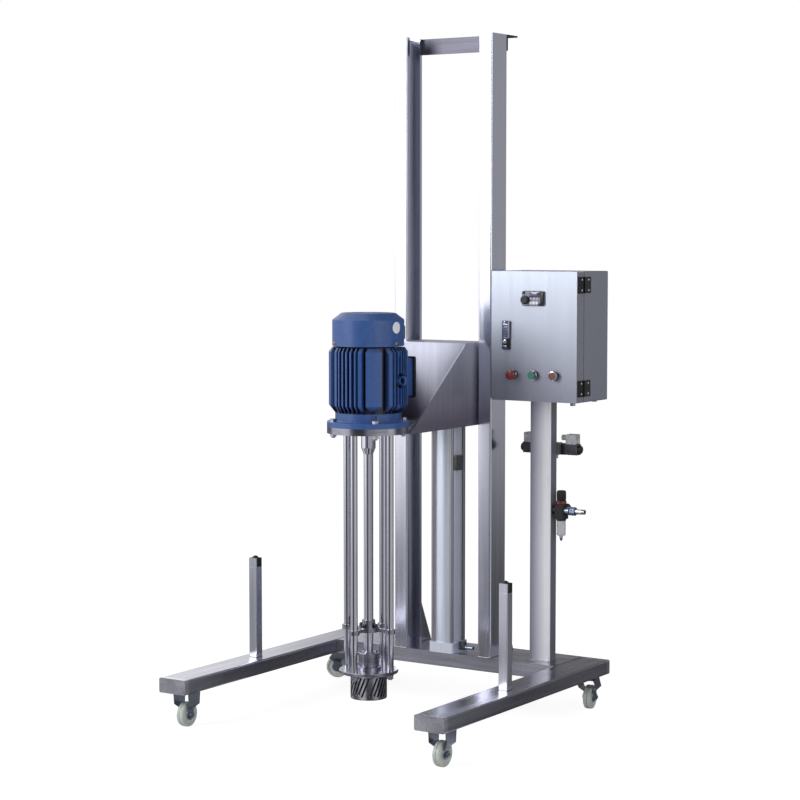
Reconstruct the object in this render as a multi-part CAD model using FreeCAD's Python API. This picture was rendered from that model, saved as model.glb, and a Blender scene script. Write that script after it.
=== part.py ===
# High shear mixer on a pneumatic lift column, stainless frame on castors, in millimetres.
# Frame: X to the operator's right, Y to the rear, Z up. The origin is on the floor under
# the middle of the base. The lift is at its lowest position and the cabinet door is shut.
import FreeCAD
import Part
import math
import os

V = FreeCAD.Vector
X_AXIS = V(1, 0, 0)
Y_AXIS = V(0, 1, 0)
Z_AXIS = V(0, 0, 1)

# Base frame
BASE_WIDTH = 1016.0
LEG_LENGTH = 984.0
LEG_WIDTH = 100.0
LEG_HEIGHT = 45.0
LEG_WALL = 3.0
LEG_CORNER = 5.0
END_CAP_THICKNESS = 3.0
BEAM_DEPTH = 185.0
CASTER_HEIGHT = 111.0

# Castors
WHEEL_DIAMETER = 75.0
WHEEL_WIDTH = 27.0
WHEEL_GROOVE = 2.0
FORK_SHEET = 3.0
FORK_SPREAD = 60.0
FORK_TOP_LENGTH = 57.0
FORK_WAIST_LENGTH = 50.0
FORK_FOOT_LENGTH = 24.0
AXLE_RADIUS = 5.0
HUB_GAP = 0.5
FRONT_CASTER_INSET = 70.0
REAR_CASTER_INSET = 54.0
SWIVEL_TRAIL = 26.0
SWIVEL_RACE_RADIUS = 26.0
SWIVEL_RACE_HEIGHT = 7.0
RIGHT_SWIVEL_DEG = 10.0
LEFT_SWIVEL_DEG = 115.0
LEFT_SWIVEL_OUTSET = 8.0

# Lift columns
COLUMN_OUTER_WIDTH = 362.0
COLUMN_WIDTH = 48.0
COLUMN_DEPTH = 92.0
COLUMN_WALL = 4.0
COLUMN_LIP = 12.0
COLUMN_TOP = 2115.0
TIE_UPRIGHT = 50.0
TIE_SHELF = 65.0
TIE_THICKNESS = 5.0
BRACE_HEIGHT = 180.0
BRACE_LENGTH = 86.0
BRACE_THICKNESS = 6.0

# Vessel guide posts
TANK_POST_SIZE = 30.0
TANK_POST_WALL = 2.0
TANK_POST_TOP = 473.0
TANK_POST_SETBACK = 418.0
INSERT_HEIGHT = 28.0
INSERT_DOME = 7.0
INSERT_CLEARANCE = 0.2

# Pneumatic lift cylinder
CYLINDER_SETBACK = 39.0
CYLINDER_BORE = 80.0
BARREL_WALL = 2.0
CAP_SIZE = 90.0
CAP_HEIGHT = 33.0
BARREL_LENGTH = 852.0
TIE_ROD_RADIUS = 6.0
TIE_ROD_OFFSET = 35.0
PISTON_ROD_RADIUS = 12.5
PISTON_HEIGHT = 30.0
ROD_FLANGE_RADIUS = 30.0
ROD_FLANGE_THICKNESS = 10.0
SLIDING_GAP = 0.05
LIFT_STROKE = 750.0

# Mixing head
HEAD_REACH = 419.0
HEAD_PLATE_RADIUS = 125.0
HEAD_PLATE_THICKNESS = 20.0
HEAD_PLATE_BOTTOM = 896.0
ROD_RADIUS = 11.0
ROD_CIRCLE_RADIUS = 78.0
ROD_STUD_RADIUS = 6.0
BOTTOM_PLATE_RADIUS = 90.0
BOTTOM_PLATE_THICKNESS = 10.0
BOTTOM_PLATE_BOTTOM = 165.0
SHAFT_RADIUS = 14.5
COUPLING_RADIUS = 22.0
COUPLING_LENGTH = 66.0
COUPLING_CONE = 19.0
STEADY_HEIGHT = 290.0
STEADY_THICKNESS = 14.0
STEADY_HUB_RADIUS = 34.0
STEADY_COLLAR_RADIUS = 20.0
STEADY_COLLAR_HEIGHT = 22.0
HOUSING_RADIUS = 32.0
HOUSING_HEIGHT = 51.0
BUSH_WALL = 4.5
STATOR_RADIUS = 55.5
STATOR_WALL = 6.5
STATOR_HEIGHT = 78.0
STATOR_FLANGE_RADIUS = 64.0
STATOR_FLANGE_THICKNESS = 8.0
SLOT_WIDTH = 5.5
SLOT_SLANT_DEG = 22.0
SLOT_GROUPS = 4
SLOTS_PER_GROUP = 6
STATOR_TURN_DEG = -54.0
STATOR_RING = 10.0
ROTOR_GAP = 0.6
ROTOR_HUB_RADIUS = 20.0
ROTOR_BLADES = 4
BLADE_THICKNESS = 8.0

# Motor
FLANGE_RADIUS = 125.0
FLANGE_THICKNESS = 16.0
FLANGE_BOLT_CIRCLE = 107.5
FLANGE_BOLT_RADIUS = 6.0
NECK_RADIUS = 100.0
NECK_HEIGHT = 26.0
FRAME_HEIGHT = 197.0
FRAME_CORE_RADIUS = 98.0
FIN_RADIUS = 119.0
FIN_PITCH = 14.4
FIN_THICKNESS = 4.5
CORNER_PAD_WIDTH = 48.0
CORNER_PAD_TURN_DEG = 3.0
THICK_FIN = 10.0
FIN_COUNT_SIDE = 3
FIN_FOOT_BEVEL = 24.0
FIN_TOP_BEVEL = 13.0
FRAME_BORE_RADIUS = 61.0
ROTOR_CORE_GAP = 0.8
MOTOR_SHAFT_RADIUS = 14.0
COWL_RADIUS = 108.5
COWL_SKIRT = 78.0
COWL_CHAMFER = 20.0
COWL_TOP_RADIUS = 82.0
COWL_WALL = 2.0
COWL_GAP = 4.0
COWL_SCREW_START_DEG = -5.0
COWL_SCREWS = 3
TERMINAL_WIDTH = 110.0
TERMINAL_HEIGHT = 118.0
TERMINAL_DEPTH = 48.0
TERMINAL_LID = 12.0
TERMINAL_SEAT = 112.0
EYE_SEAT = 107.0
EYE_RING_RADIUS = 11.5
EYE_WIRE_RADIUS = 3.5

# Lift carriage
GUSSET_OUTER_HALF = 125.0
GUSSET_THICKNESS = 6.0
BRACKET_TOP = 1153.0
BRACKET_BOTTOM = 893.0
BRACKET_TOP_REACH = 63.5
CARRIAGE_REAR_GAP = 2.0
REAR_STRAP_THICKNESS = 4.0
REAR_STRAP_HEIGHT = 50.0
SHOE_HEIGHT = 60.0
SHOE_GAP = 0.4
SHOE_STEM_WIDTH = 40.0
SHOE_END_MARGIN = 12.0

# Control cabinet
CABINET_LEFT = 200.0
CABINET_WIDTH = 300.0
CABINET_HEIGHT = 400.0
CABINET_DEPTH = 200.0
CABINET_BOTTOM = 979.0
CABINET_SETBACK = -30.0
CABINET_SHEET = 2.0
CABINET_EDGE = 3.0
DOOR_DEPTH = 44.0
DOOR_GAP = 2.0
POST_LEFT = 293.0
POST_WIDTH = 75.0
POST_DEPTH = 42.0
POST_SETBACK = 49.0
POST_WALL = 2.5
POST_CORNER = 6.0
HINGE_HEIGHT = 50.0
HINGE_LEAF = 38.0
HINGE_LEAF_THICKNESS = 3.0
HINGE_BARREL_RADIUS = 3.8
HINGE_PIN_RADIUS = 2.0
HINGE_OUTSET = 4.2
LOWER_HINGE_OFFSET = 18.0
UPPER_HINGE_OFFSET = 334.0
BUTTON_ROW_HEIGHT = 81.5
BUTTON_FIRST_OFFSET = 80.5
BUTTON_PITCH = 72.0
BUTTON_BORE_RADIUS = 8.05
BUTTON_STEM_RADIUS = 8.0
COLLAR_RADIUS = 14.5
COLLAR_LENGTH = 11.0
BUTTON_BARREL_RADIUS = 11.0
KEYPAD_LEFT = 111.0
KEYPAD_BOTTOM = 294.5
KEYPAD_WIDTH = 78.0
KEYPAD_HEIGHT = 45.0
KEYPAD_THICKNESS = 4.0
KNOB_RADIUS = 12.5
KNOB_HEIGHT = 12.0
KNOB_INSET = 13.0
LOCK_LEFT = 41.0
LOCK_BOTTOM = 158.0
LOCK_WIDTH = 27.0
LOCK_HEIGHT = 89.0
LOCK_THICKNESS = 4.0
GLAND_INSET_X = 63.0
GLAND_INSET_Y = 107.0
DRIVE_WIDTH = 95.0
DRIVE_HEIGHT = 155.0
DRIVE_DEPTH = 75.0
DRIVE_RISE = 190.0
SINK_DEPTH = 30.0
SINK_FIN_PITCH = 11.0
RAIL_RISE = 95.0
RAIL_WIDTH = 35.0
BREAKER_WIDTH = 54.0
BREAKER_HEIGHT = 84.0
CONTACTOR_WIDTH = 45.0
CONTACTOR_HEIGHT = 64.0
TERMINAL_PITCH = 8.0

# Pneumatic control
VALVE_CENTRE_X = 338.0
VALVE_CENTRE_Z = 823.0
VALVE_BODY_LENGTH = 62.0
VALVE_BODY_HEIGHT = 38.0
VALVE_BODY_DEPTH = 30.0
VALVE_PLATE = 3.0
PILOT_LENGTH = 23.0
COIL_LENGTH = 42.0
COIL_HEIGHT = 33.0
COIL_NUT_LENGTH = 10.0
PLUG_WIDTH = 36.0
PLUG_HEIGHT = 31.0
PLUG_DEPTH = 28.0
REGULATOR_OUTSET = 27.0
REGULATOR_CENTRE_Z = 631.0
REGULATOR_SIZE = 34.0
REGULATOR_HEIGHT = 46.0
REGULATOR_BONNET = 12.0
REGULATOR_KNOB_HEIGHT = 30.0
REGULATOR_KNOB_RADIUS = 14.0
BOWL_RADIUS = 14.0
BOWL_LENGTH = 53.0
BOWL_WALL = 2.0
GAUGE_RADIUS = 13.0
GAUGE_LENGTH = 16.0
GAUGE_RISE = 8.0
SENSOR_HEIGHT = 47.0
SENSOR_CENTRE_Z = 767.0

# Places worked out from the sizes above
BASE_TOP = CASTER_HEIGHT + LEG_HEIGHT
REAR_Y = LEG_LENGTH / 2
FRONT_Y = -LEG_LENGTH / 2
BEAM_FRONT_Y = REAR_Y - BEAM_DEPTH
LEG_CENTRE_X = BASE_WIDTH / 2 - LEG_WIDTH / 2
LEG_INNER_X = BASE_WIDTH / 2 - LEG_WIDTH
COLUMN_OUTER_X = COLUMN_OUTER_WIDTH / 2
COLUMN_INNER_X = COLUMN_OUTER_X - COLUMN_WIDTH
COLUMN_REAR_Y = BEAM_FRONT_Y + COLUMN_DEPTH
CYLINDER_Y = BEAM_FRONT_Y + CYLINDER_SETBACK
BARREL_BOTTOM = BASE_TOP + CAP_HEIGHT
BARREL_TOP = BARREL_BOTTOM + BARREL_LENGTH
HEAD_Y = BEAM_FRONT_Y - HEAD_REACH
HEAD_PLATE_TOP = HEAD_PLATE_BOTTOM + HEAD_PLATE_THICKNESS
FLANGE_TOP = HEAD_PLATE_TOP + FLANGE_THICKNESS
FRAME_BOTTOM = FLANGE_TOP + NECK_HEIGHT
FRAME_TOP = FRAME_BOTTOM + FRAME_HEIGHT
COWL_BOTTOM = FRAME_TOP + COWL_GAP
COWL_SHOULDER = COWL_BOTTOM + COWL_SKIRT
COWL_TOP = COWL_SHOULDER + COWL_CHAMFER
MOTOR_MID_Z = (FRAME_BOTTOM + FRAME_TOP) / 2
BOTTOM_PLATE_TOP = BOTTOM_PLATE_BOTTOM + BOTTOM_PLATE_THICKNESS
COUPLING_BOTTOM = HEAD_PLATE_TOP - COUPLING_LENGTH
STATOR_BOTTOM = BOTTOM_PLATE_BOTTOM - STATOR_HEIGHT
STATOR_INNER = STATOR_RADIUS - STATOR_WALL
GUSSET_INNER_HALF = GUSSET_OUTER_HALF - GUSSET_THICKNESS
BRACKET_TOP_FRONT = BEAM_FRONT_Y - BRACKET_TOP_REACH
CARRIAGE_REAR = COLUMN_REAR_Y - CARRIAGE_REAR_GAP
CABINET_RIGHT = CABINET_LEFT + CABINET_WIDTH
CABINET_FRONT = BEAM_FRONT_Y + CABINET_SETBACK
CABINET_REAR = CABINET_FRONT + CABINET_DEPTH
CABINET_TOP = CABINET_BOTTOM + CABINET_HEIGHT
DOOR_REAR = CABINET_FRONT + DOOR_DEPTH
BODY_FRONT = DOOR_REAR + DOOR_GAP
HINGE_X = CABINET_RIGHT + HINGE_OUTSET
HINGE_Y = (DOOR_REAR + BODY_FRONT) / 2
POST_RIGHT = POST_LEFT + POST_WIDTH
POST_FRONT = BEAM_FRONT_Y + POST_SETBACK
POST_REAR = POST_FRONT + POST_DEPTH
WHEEL_RADIUS = WHEEL_DIAMETER / 2
AXLE_HALF = FORK_SPREAD / 2
FRONT_CASTER_Y = FRONT_Y + FRONT_CASTER_INSET
REAR_CASTER_Y = REAR_Y - REAR_CASTER_INSET


# Helpers

def box(x0, x1, y0, y1, z0, z1):
    """Box between two opposite corners."""
    return Part.makeBox(x1 - x0, y1 - y0, z1 - z0, V(x0, y0, z0))


def rod(radius, start, axis, length):
    """Round bar from a start point along an axis."""
    return Part.makeCylinder(radius, length, start, axis)


def upright(radius, x, y, z0, z1):
    """Round bar standing on Z."""
    return rod(radius, V(x, y, z0), Z_AXIS, z1 - z0)


def upright_ring(outer, inner, x, y, z0, z1):
    """Tube standing on Z."""
    return upright(outer, x, y, z0, z1).cut(upright(inner, x, y, z0, z1))


def turned(profile, x, y):
    """Solid turned about a vertical axis from (radius, height) points."""
    points = [V(x + radius, y, height) for radius, height in profile]
    points.append(points[0])
    face = Part.Face(Part.makePolygon(points))
    return face.revolve(V(x, y, 0), Z_AXIS, 360)


def plate_yz(outline, x0, x1):
    """Plate with its outline given as (Y, Z) points, from x0 to x1."""
    points = [V(x0, y, z) for y, z in outline]
    points.append(points[0])
    return Part.Face(Part.makePolygon(points)).extrude(V(x1 - x0, 0, 0))


def plate_xz(outline, y0, y1):
    """Plate with its outline given as (X, Z) points, from y0 to y1."""
    points = [V(x, y0, z) for x, z in outline]
    points.append(points[0])
    return Part.Face(Part.makePolygon(points)).extrude(V(0, y1 - y0, 0))


def plate_xy(outline, z0, z1):
    """Plate with its outline given as (X, Y) points, from z0 to z1."""
    points = [V(x, y, z0) for x, y in outline]
    points.append(points[0])
    return Part.Face(Part.makePolygon(points)).extrude(V(0, 0, z1 - z0))


def hexagon(across_flats, x, y, z0, z1):
    """Hexagonal prism standing on Z."""
    radius = across_flats / math.sqrt(3)
    corners = []
    for step in range(6):
        angle = math.radians(60 * step)
        corners.append((x + radius * math.cos(angle), y + radius * math.sin(angle)))
    return plate_xy(corners, z0, z1)


def along(shape, axis):
    """Straight edges of a shape that run along an axis."""
    found = []
    for edge in shape.Edges:
        if edge.Curve.TypeId != "Part::GeomLine":
            continue
        direction = edge.tangentAt(edge.FirstParameter)
        if abs(direction.dot(axis)) > 0.999:
            found.append(edge)
    return found


def rounded(shape, radius, axis):
    """Shape with all its straight edges along one axis rounded."""
    return shape.makeFillet(radius, along(shape, axis))


def fused(shapes):
    """One solid from touching or overlapping shapes."""
    whole = shapes[0].multiFuse(shapes[1:]) if len(shapes) > 1 else shapes[0]
    return whole.removeSplitter()


def spun(shape, angle, x, y):
    """Copy turned about a vertical axis through (x, y)."""
    copy = shape.copy()
    copy.rotate(V(x, y, 0), Z_AXIS, angle)
    return copy


def solids_of(shape):
    """The solids of a shape as a list."""
    return list(shape.Solids)


def write(node, shapes):
    """Write the solids of one sub-part to its own file."""
    solids = []
    for shape in shapes:
        solids.extend(solids_of(shape))
    whole = solids[0] if len(solids) == 1 else Part.makeCompound(solids)
    whole.exportStep("parts/" + node + ".step")


# Base frame

def leg(side):
    """Rectangular tube along Y with a welded plate over each end."""
    x0 = side * LEG_CENTRE_X - LEG_WIDTH / 2
    x1 = side * LEG_CENTRE_X + LEG_WIDTH / 2
    tube_front = FRONT_Y + END_CAP_THICKNESS
    tube_rear = REAR_Y - END_CAP_THICKNESS
    outer = rounded(box(x0, x1, tube_front, tube_rear, CASTER_HEIGHT, BASE_TOP), LEG_CORNER, Y_AXIS)
    inner = box(x0 + LEG_WALL, x1 - LEG_WALL, tube_front, tube_rear,
                CASTER_HEIGHT + LEG_WALL, BASE_TOP - LEG_WALL)
    inner = rounded(inner, LEG_CORNER - LEG_WALL, Y_AXIS)
    pieces = [outer.cut(inner)]
    for y0 in (FRONT_Y, tube_rear):
        cap = box(x0, x1, y0, y0 + END_CAP_THICKNESS, CASTER_HEIGHT, BASE_TOP)
        pieces.append(rounded(cap, LEG_CORNER, Y_AXIS))
    return pieces


def cross_beam():
    """Wide flat hollow section between the two legs."""
    outer = box(-LEG_INNER_X, LEG_INNER_X, BEAM_FRONT_Y, REAR_Y, CASTER_HEIGHT, BASE_TOP)
    inner = box(-LEG_INNER_X, LEG_INNER_X, BEAM_FRONT_Y + LEG_WALL, REAR_Y - LEG_WALL,
                CASTER_HEIGHT + LEG_WALL, BASE_TOP - LEG_WALL)
    return outer.cut(inner)


def column(side):
    """Lipped channel, open towards the middle, standing on the cross beam."""
    lip_end_front = BEAM_FRONT_Y + COLUMN_WALL + COLUMN_LIP
    lip_end_rear = COLUMN_REAR_Y - COLUMN_WALL - COLUMN_LIP
    outer = rounded(box(COLUMN_INNER_X, COLUMN_OUTER_X, BEAM_FRONT_Y, COLUMN_REAR_Y,
                        BASE_TOP, COLUMN_TOP), COLUMN_WALL + 1, Z_AXIS)
    inner = box(COLUMN_INNER_X + COLUMN_WALL, COLUMN_OUTER_X - COLUMN_WALL,
                BEAM_FRONT_Y + COLUMN_WALL, COLUMN_REAR_Y - COLUMN_WALL, BASE_TOP, COLUMN_TOP)
    mouth = box(COLUMN_INNER_X, COLUMN_INNER_X + COLUMN_WALL, lip_end_front, lip_end_rear,
                BASE_TOP, COLUMN_TOP)
    channel = outer.cut(inner).cut(mouth)
    if side < 0:
        channel = channel.mirror(V(0, 0, 0), X_AXIS)
    return channel


def top_tie():
    """Angle across the back of the column tops, its shelf pointing to the rear."""
    y0 = COLUMN_REAR_Y
    y1 = y0 + TIE_SHELF
    profile = [(y0, COLUMN_TOP - TIE_UPRIGHT), (y0 + TIE_THICKNESS, COLUMN_TOP - TIE_UPRIGHT),
               (y0 + TIE_THICKNESS, COLUMN_TOP - TIE_THICKNESS), (y1, COLUMN_TOP - TIE_THICKNESS),
               (y1, COLUMN_TOP), (y0, COLUMN_TOP)]
    return plate_yz(profile, -COLUMN_OUTER_X, COLUMN_OUTER_X)


def column_braces():
    """Triangular plate behind the foot of each column."""
    outline = [(COLUMN_REAR_Y, BASE_TOP), (COLUMN_REAR_Y + BRACE_LENGTH, BASE_TOP),
               (COLUMN_REAR_Y + BRACE_LENGTH, BASE_TOP + BRACE_THICKNESS),
               (COLUMN_REAR_Y + BRACE_THICKNESS, BASE_TOP + BRACE_HEIGHT),
               (COLUMN_REAR_Y, BASE_TOP + BRACE_HEIGHT)]
    centre = COLUMN_OUTER_X - COLUMN_WIDTH / 2
    plates = []
    for side in (-1, 1):
        x0 = side * centre - BRACE_THICKNESS / 2
        plates.append(plate_yz(outline, x0, x0 + BRACE_THICKNESS))
    return plates


def tank_post(side):
    """Square tube on a leg, notched at the top on both sides for its plastic insert."""
    x = side * LEG_CENTRE_X
    y = BEAM_FRONT_Y + 38.0 - TANK_POST_SETBACK
    half = TANK_POST_SIZE / 2
    hollow = half - TANK_POST_WALL
    outer = rounded(box(x - half, x + half, y - half, y + half, BASE_TOP, TANK_POST_TOP),
                    TANK_POST_WALL, Z_AXIS)
    inner = box(x - hollow, x + hollow, y - hollow, y + hollow, BASE_TOP, TANK_POST_TOP)
    notch = box(x - half, x + half, y - hollow + 1, y + hollow - 1,
                TANK_POST_TOP - INSERT_HEIGHT, TANK_POST_TOP)
    groove = box(x - half, x + half, y - half, y - half + 0.5,
                 TANK_POST_TOP - INSERT_HEIGHT - 0.8, TANK_POST_TOP - INSERT_HEIGHT)
    tube = outer.cut(inner).cut(notch).cut(groove)
    size = hollow - INSERT_CLEARANCE
    block = box(x - size, x + size, y - size, y + size,
                TANK_POST_TOP - INSERT_HEIGHT, TANK_POST_TOP)
    seat = box(x - half + 0.4, x + half - 0.4, y - hollow + 1 + INSERT_CLEARANCE,
               y + hollow - 1 - INSERT_CLEARANCE, TANK_POST_TOP - INSERT_HEIGHT, TANK_POST_TOP)
    dome_base = size * 0.8
    sphere_radius = (dome_base ** 2 + INSERT_DOME ** 2) / (2 * INSERT_DOME)
    ball = Part.makeSphere(sphere_radius, V(x, y, TANK_POST_TOP + INSERT_DOME - sphere_radius))
    dome = ball.common(box(x - half, x + half, y - half, y + half,
                           TANK_POST_TOP - 1, TANK_POST_TOP + INSERT_DOME))
    return tube, fused([block, seat, dome])


# Castors

def fork_sheet(centre_x, centre_y, top_z, foot_y, axle_z):
    """Pressed fork: a top plate and two cheeks that step in to the hub at their foot."""
    outer = FORK_SPREAD / 2
    inner = WHEEL_WIDTH / 2 + HUB_GAP
    waist_z = axle_z + WHEEL_RADIUS * 0.85
    foot_z = waist_z - 14.0
    low_z = axle_z - FORK_FOOT_LENGTH / 2
    half = [(0, top_z), (outer, top_z), (outer, waist_z), (inner + FORK_SHEET, foot_z),
            (inner + FORK_SHEET, low_z), (inner, low_z), (inner, foot_z),
            (outer - FORK_SHEET, waist_z), (outer - FORK_SHEET, top_z - FORK_SHEET),
            (0, top_z - FORK_SHEET)]
    mirrored = [(-x, z) for x, z in reversed(half)]
    outline = [(centre_x + x, z) for x, z in half[1:-1]]
    outline += [(centre_x + x, z) for x, z in mirrored[1:-1]]
    strip = plate_xz(outline, centre_y - FORK_TOP_LENGTH, centre_y + FORK_TOP_LENGTH)
    top = FORK_TOP_LENGTH / 2
    waist = FORK_WAIST_LENGTH / 2
    foot = FORK_FOOT_LENGTH / 2
    side = [(centre_y - top, top_z), (centre_y + top, top_z), (foot_y + waist, waist_z),
            (foot_y + foot, foot_z), (foot_y + foot, axle_z), (foot_y - foot, axle_z),
            (foot_y - foot, foot_z), (foot_y - waist, waist_z)]
    cheek = plate_yz(side, centre_x - FORK_SPREAD, centre_x + FORK_SPREAD)
    toe = rod(foot, V(centre_x - FORK_SPREAD, foot_y, axle_z), X_AXIS, 2 * FORK_SPREAD)
    return strip.common(fused([cheek, toe]))


def axle(centre_x, y, z):
    """Axle bolt with its hexagonal head and nut outside the cheeks."""
    reach = WHEEL_WIDTH / 2 + HUB_GAP + FORK_SHEET
    shank = rod(AXLE_RADIUS, V(centre_x - reach, y, z), X_AXIS, 2 * reach)
    corner = AXLE_RADIUS * 3.2 / math.sqrt(3)
    flats = []
    for step in range(6):
        angle = math.radians(60 * step + 15)
        flats.append((y + corner * math.cos(angle), z + corner * math.sin(angle)))
    head = plate_yz(flats, centre_x - reach - 5, centre_x - reach)
    nut = plate_yz(flats, centre_x + reach, centre_x + reach + 6)
    tip = rod(AXLE_RADIUS * 0.8, V(centre_x + reach + 6, y, z), X_AXIS, 3)
    return fused([shank, head, nut, tip])


def wheel(centre_x, y, z):
    """Two-part tread with a groove between its halves, on a dished hub."""
    half = WHEEL_WIDTH / 2
    groove = WHEEL_GROOVE / 2
    rim = WHEEL_RADIUS - 4.0
    hub = AXLE_RADIUS + 8.0
    bore = AXLE_RADIUS + SLIDING_GAP
    web = half - 4.0
    profile = [(bore, half), (hub, half), (hub + 2, web), (rim - 6, web), (rim - 3, half - 1),
               (rim, half - 1), (WHEEL_RADIUS - 1, half - 3), (WHEEL_RADIUS, half - 6),
               (WHEEL_RADIUS, groove), (WHEEL_RADIUS - 2.5, 0)]
    mirrored = [(radius, -across) for radius, across in reversed(profile[:-1])]
    points = [V(centre_x + across, y, z + radius) for radius, across in profile + mirrored]
    points.append(points[0])
    return Part.Face(Part.makePolygon(points)).revolve(V(centre_x, y, z), X_AXIS, 360)


def fixed_caster(side):
    """Front castor: its fork is bolted straight to the leg and can't swivel."""
    x = side * LEG_CENTRE_X
    fork = fork_sheet(x, FRONT_CASTER_Y, CASTER_HEIGHT, FRONT_CASTER_Y, WHEEL_RADIUS)
    bore = rod(AXLE_RADIUS, V(x - FORK_SPREAD, FRONT_CASTER_Y, WHEEL_RADIUS), X_AXIS, 2 * FORK_SPREAD)
    screw_z = CASTER_HEIGHT - FORK_SHEET
    screw = hexagon(17.0, x, FRONT_CASTER_Y, screw_z - 7.0, screw_z)
    return [fork.cut(bore), axle(x, FRONT_CASTER_Y, WHEEL_RADIUS), screw], \
        wheel(x, FRONT_CASTER_Y, WHEEL_RADIUS)


def swivel_caster(side, turn):
    """Rear castor: a race plate under the leg, a swivelling fork and its wheel."""
    x = side * LEG_CENTRE_X + (LEFT_SWIVEL_OUTSET * side if side < 0 else 0)
    crown = CASTER_HEIGHT - FORK_SHEET - SWIVEL_RACE_HEIGHT
    wheel_y = REAR_CASTER_Y + SWIVEL_TRAIL
    plate = box(x - LEG_WIDTH * 0.36, x + LEG_WIDTH * 0.36, REAR_CASTER_Y - LEG_WIDTH * 0.36,
                REAR_CASTER_Y + LEG_WIDTH * 0.36, CASTER_HEIGHT - FORK_SHEET, CASTER_HEIGHT)
    race = turned([(0, crown + 0.5), (SWIVEL_RACE_RADIUS - 6, crown + 0.5),
                   (SWIVEL_RACE_RADIUS, crown + SWIVEL_RACE_HEIGHT - 2),
                   (SWIVEL_RACE_RADIUS, crown + SWIVEL_RACE_HEIGHT),
                   (0, crown + SWIVEL_RACE_HEIGHT)], x, REAR_CASTER_Y)
    kingpin = upright(AXLE_RADIUS, x, REAR_CASTER_Y, crown - FORK_SHEET - 5, crown + 0.5)
    kingpin_head = upright(AXLE_RADIUS * 1.7, x, REAR_CASTER_Y,
                           crown - FORK_SHEET - 5, crown - FORK_SHEET - 0.5)
    fixed = fused([plate, race, kingpin, kingpin_head])
    fork = fork_sheet(x, REAR_CASTER_Y, crown, wheel_y, WHEEL_RADIUS)
    fork = fork.cut(rod(AXLE_RADIUS, V(x - FORK_SPREAD, wheel_y, WHEEL_RADIUS), X_AXIS, 2 * FORK_SPREAD))
    fork = fork.cut(upright(AXLE_RADIUS + SLIDING_GAP, x, REAR_CASTER_Y, crown - 10, crown + 1))
    moving = [fork, axle(x, wheel_y, WHEEL_RADIUS)]
    moving = [spun(piece, turn, x, REAR_CASTER_Y) for piece in moving]
    rolling = spun(wheel(x, wheel_y, WHEEL_RADIUS), turn, x, REAR_CASTER_Y)
    return fixed, moving, rolling


# Lift cylinder

def cylinder_cap(z0, rod_hole):
    """Square end cap with holes for the tie rods and, at the top, for the piston rod."""
    half = CAP_SIZE / 2
    cap = rounded(box(-half, half, CYLINDER_Y - half, CYLINDER_Y + half, z0, z0 + CAP_HEIGHT),
                  6.0, Z_AXIS)
    for sx in (-1, 1):
        for sy in (-1, 1):
            cap = cap.cut(upright(TIE_ROD_RADIUS, sx * TIE_ROD_OFFSET,
                                  CYLINDER_Y + sy * TIE_ROD_OFFSET, z0, z0 + CAP_HEIGHT))
    if rod_hole:
        cap = cap.cut(upright(PISTON_ROD_RADIUS + SLIDING_GAP, 0, CYLINDER_Y, z0, z0 + CAP_HEIGHT))
    return cap


def cylinder_tie_rods():
    """Four tie rods through both caps, each with a nut on top."""
    pieces = []
    top = BARREL_TOP + CAP_HEIGHT
    for sx in (-1, 1):
        for sy in (-1, 1):
            x = sx * TIE_ROD_OFFSET
            y = CYLINDER_Y + sy * TIE_ROD_OFFSET
            bar = upright(TIE_ROD_RADIUS, x, y, BASE_TOP, top + 12)
            nut = hexagon(17.0, x, y, top, top + 9)
            pieces.append(fused([bar, nut]))
    return pieces


def position_sensor():
    """Position switch on the barrel's right side, held by the right-hand tie rods."""
    x0 = TIE_ROD_OFFSET + TIE_ROD_RADIUS * 0.5
    low = SENSOR_CENTRE_Z - SENSOR_HEIGHT / 2
    block = box(x0, x0 + 14, CYLINDER_Y - TIE_ROD_OFFSET, CYLINDER_Y + 6, low, low + SENSOR_HEIGHT)
    block = rounded(block, 2.0, Z_AXIS)
    barrel = upright(CYLINDER_BORE / 2 + BARREL_WALL, 0, CYLINDER_Y, low, low + SENSOR_HEIGHT)
    bar = upright(TIE_ROD_RADIUS, TIE_ROD_OFFSET, CYLINDER_Y - TIE_ROD_OFFSET, low, low + SENSOR_HEIGHT)
    return block.cut(barrel).cut(bar)


def piston_rod():
    """Piston, rod and the flange that lifts the carriage."""
    flange_top = BRACKET_TOP - GUSSET_THICKNESS
    piston_bottom = BARREL_BOTTOM + 2
    return fused([
        upright(CYLINDER_BORE / 2 - SLIDING_GAP, 0, CYLINDER_Y, piston_bottom,
                piston_bottom + PISTON_HEIGHT),
        upright(PISTON_ROD_RADIUS, 0, CYLINDER_Y, piston_bottom, flange_top),
        upright(ROD_FLANGE_RADIUS, 0, CYLINDER_Y, flange_top - ROD_FLANGE_THICKNESS, flange_top)])


# Lift carriage

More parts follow.
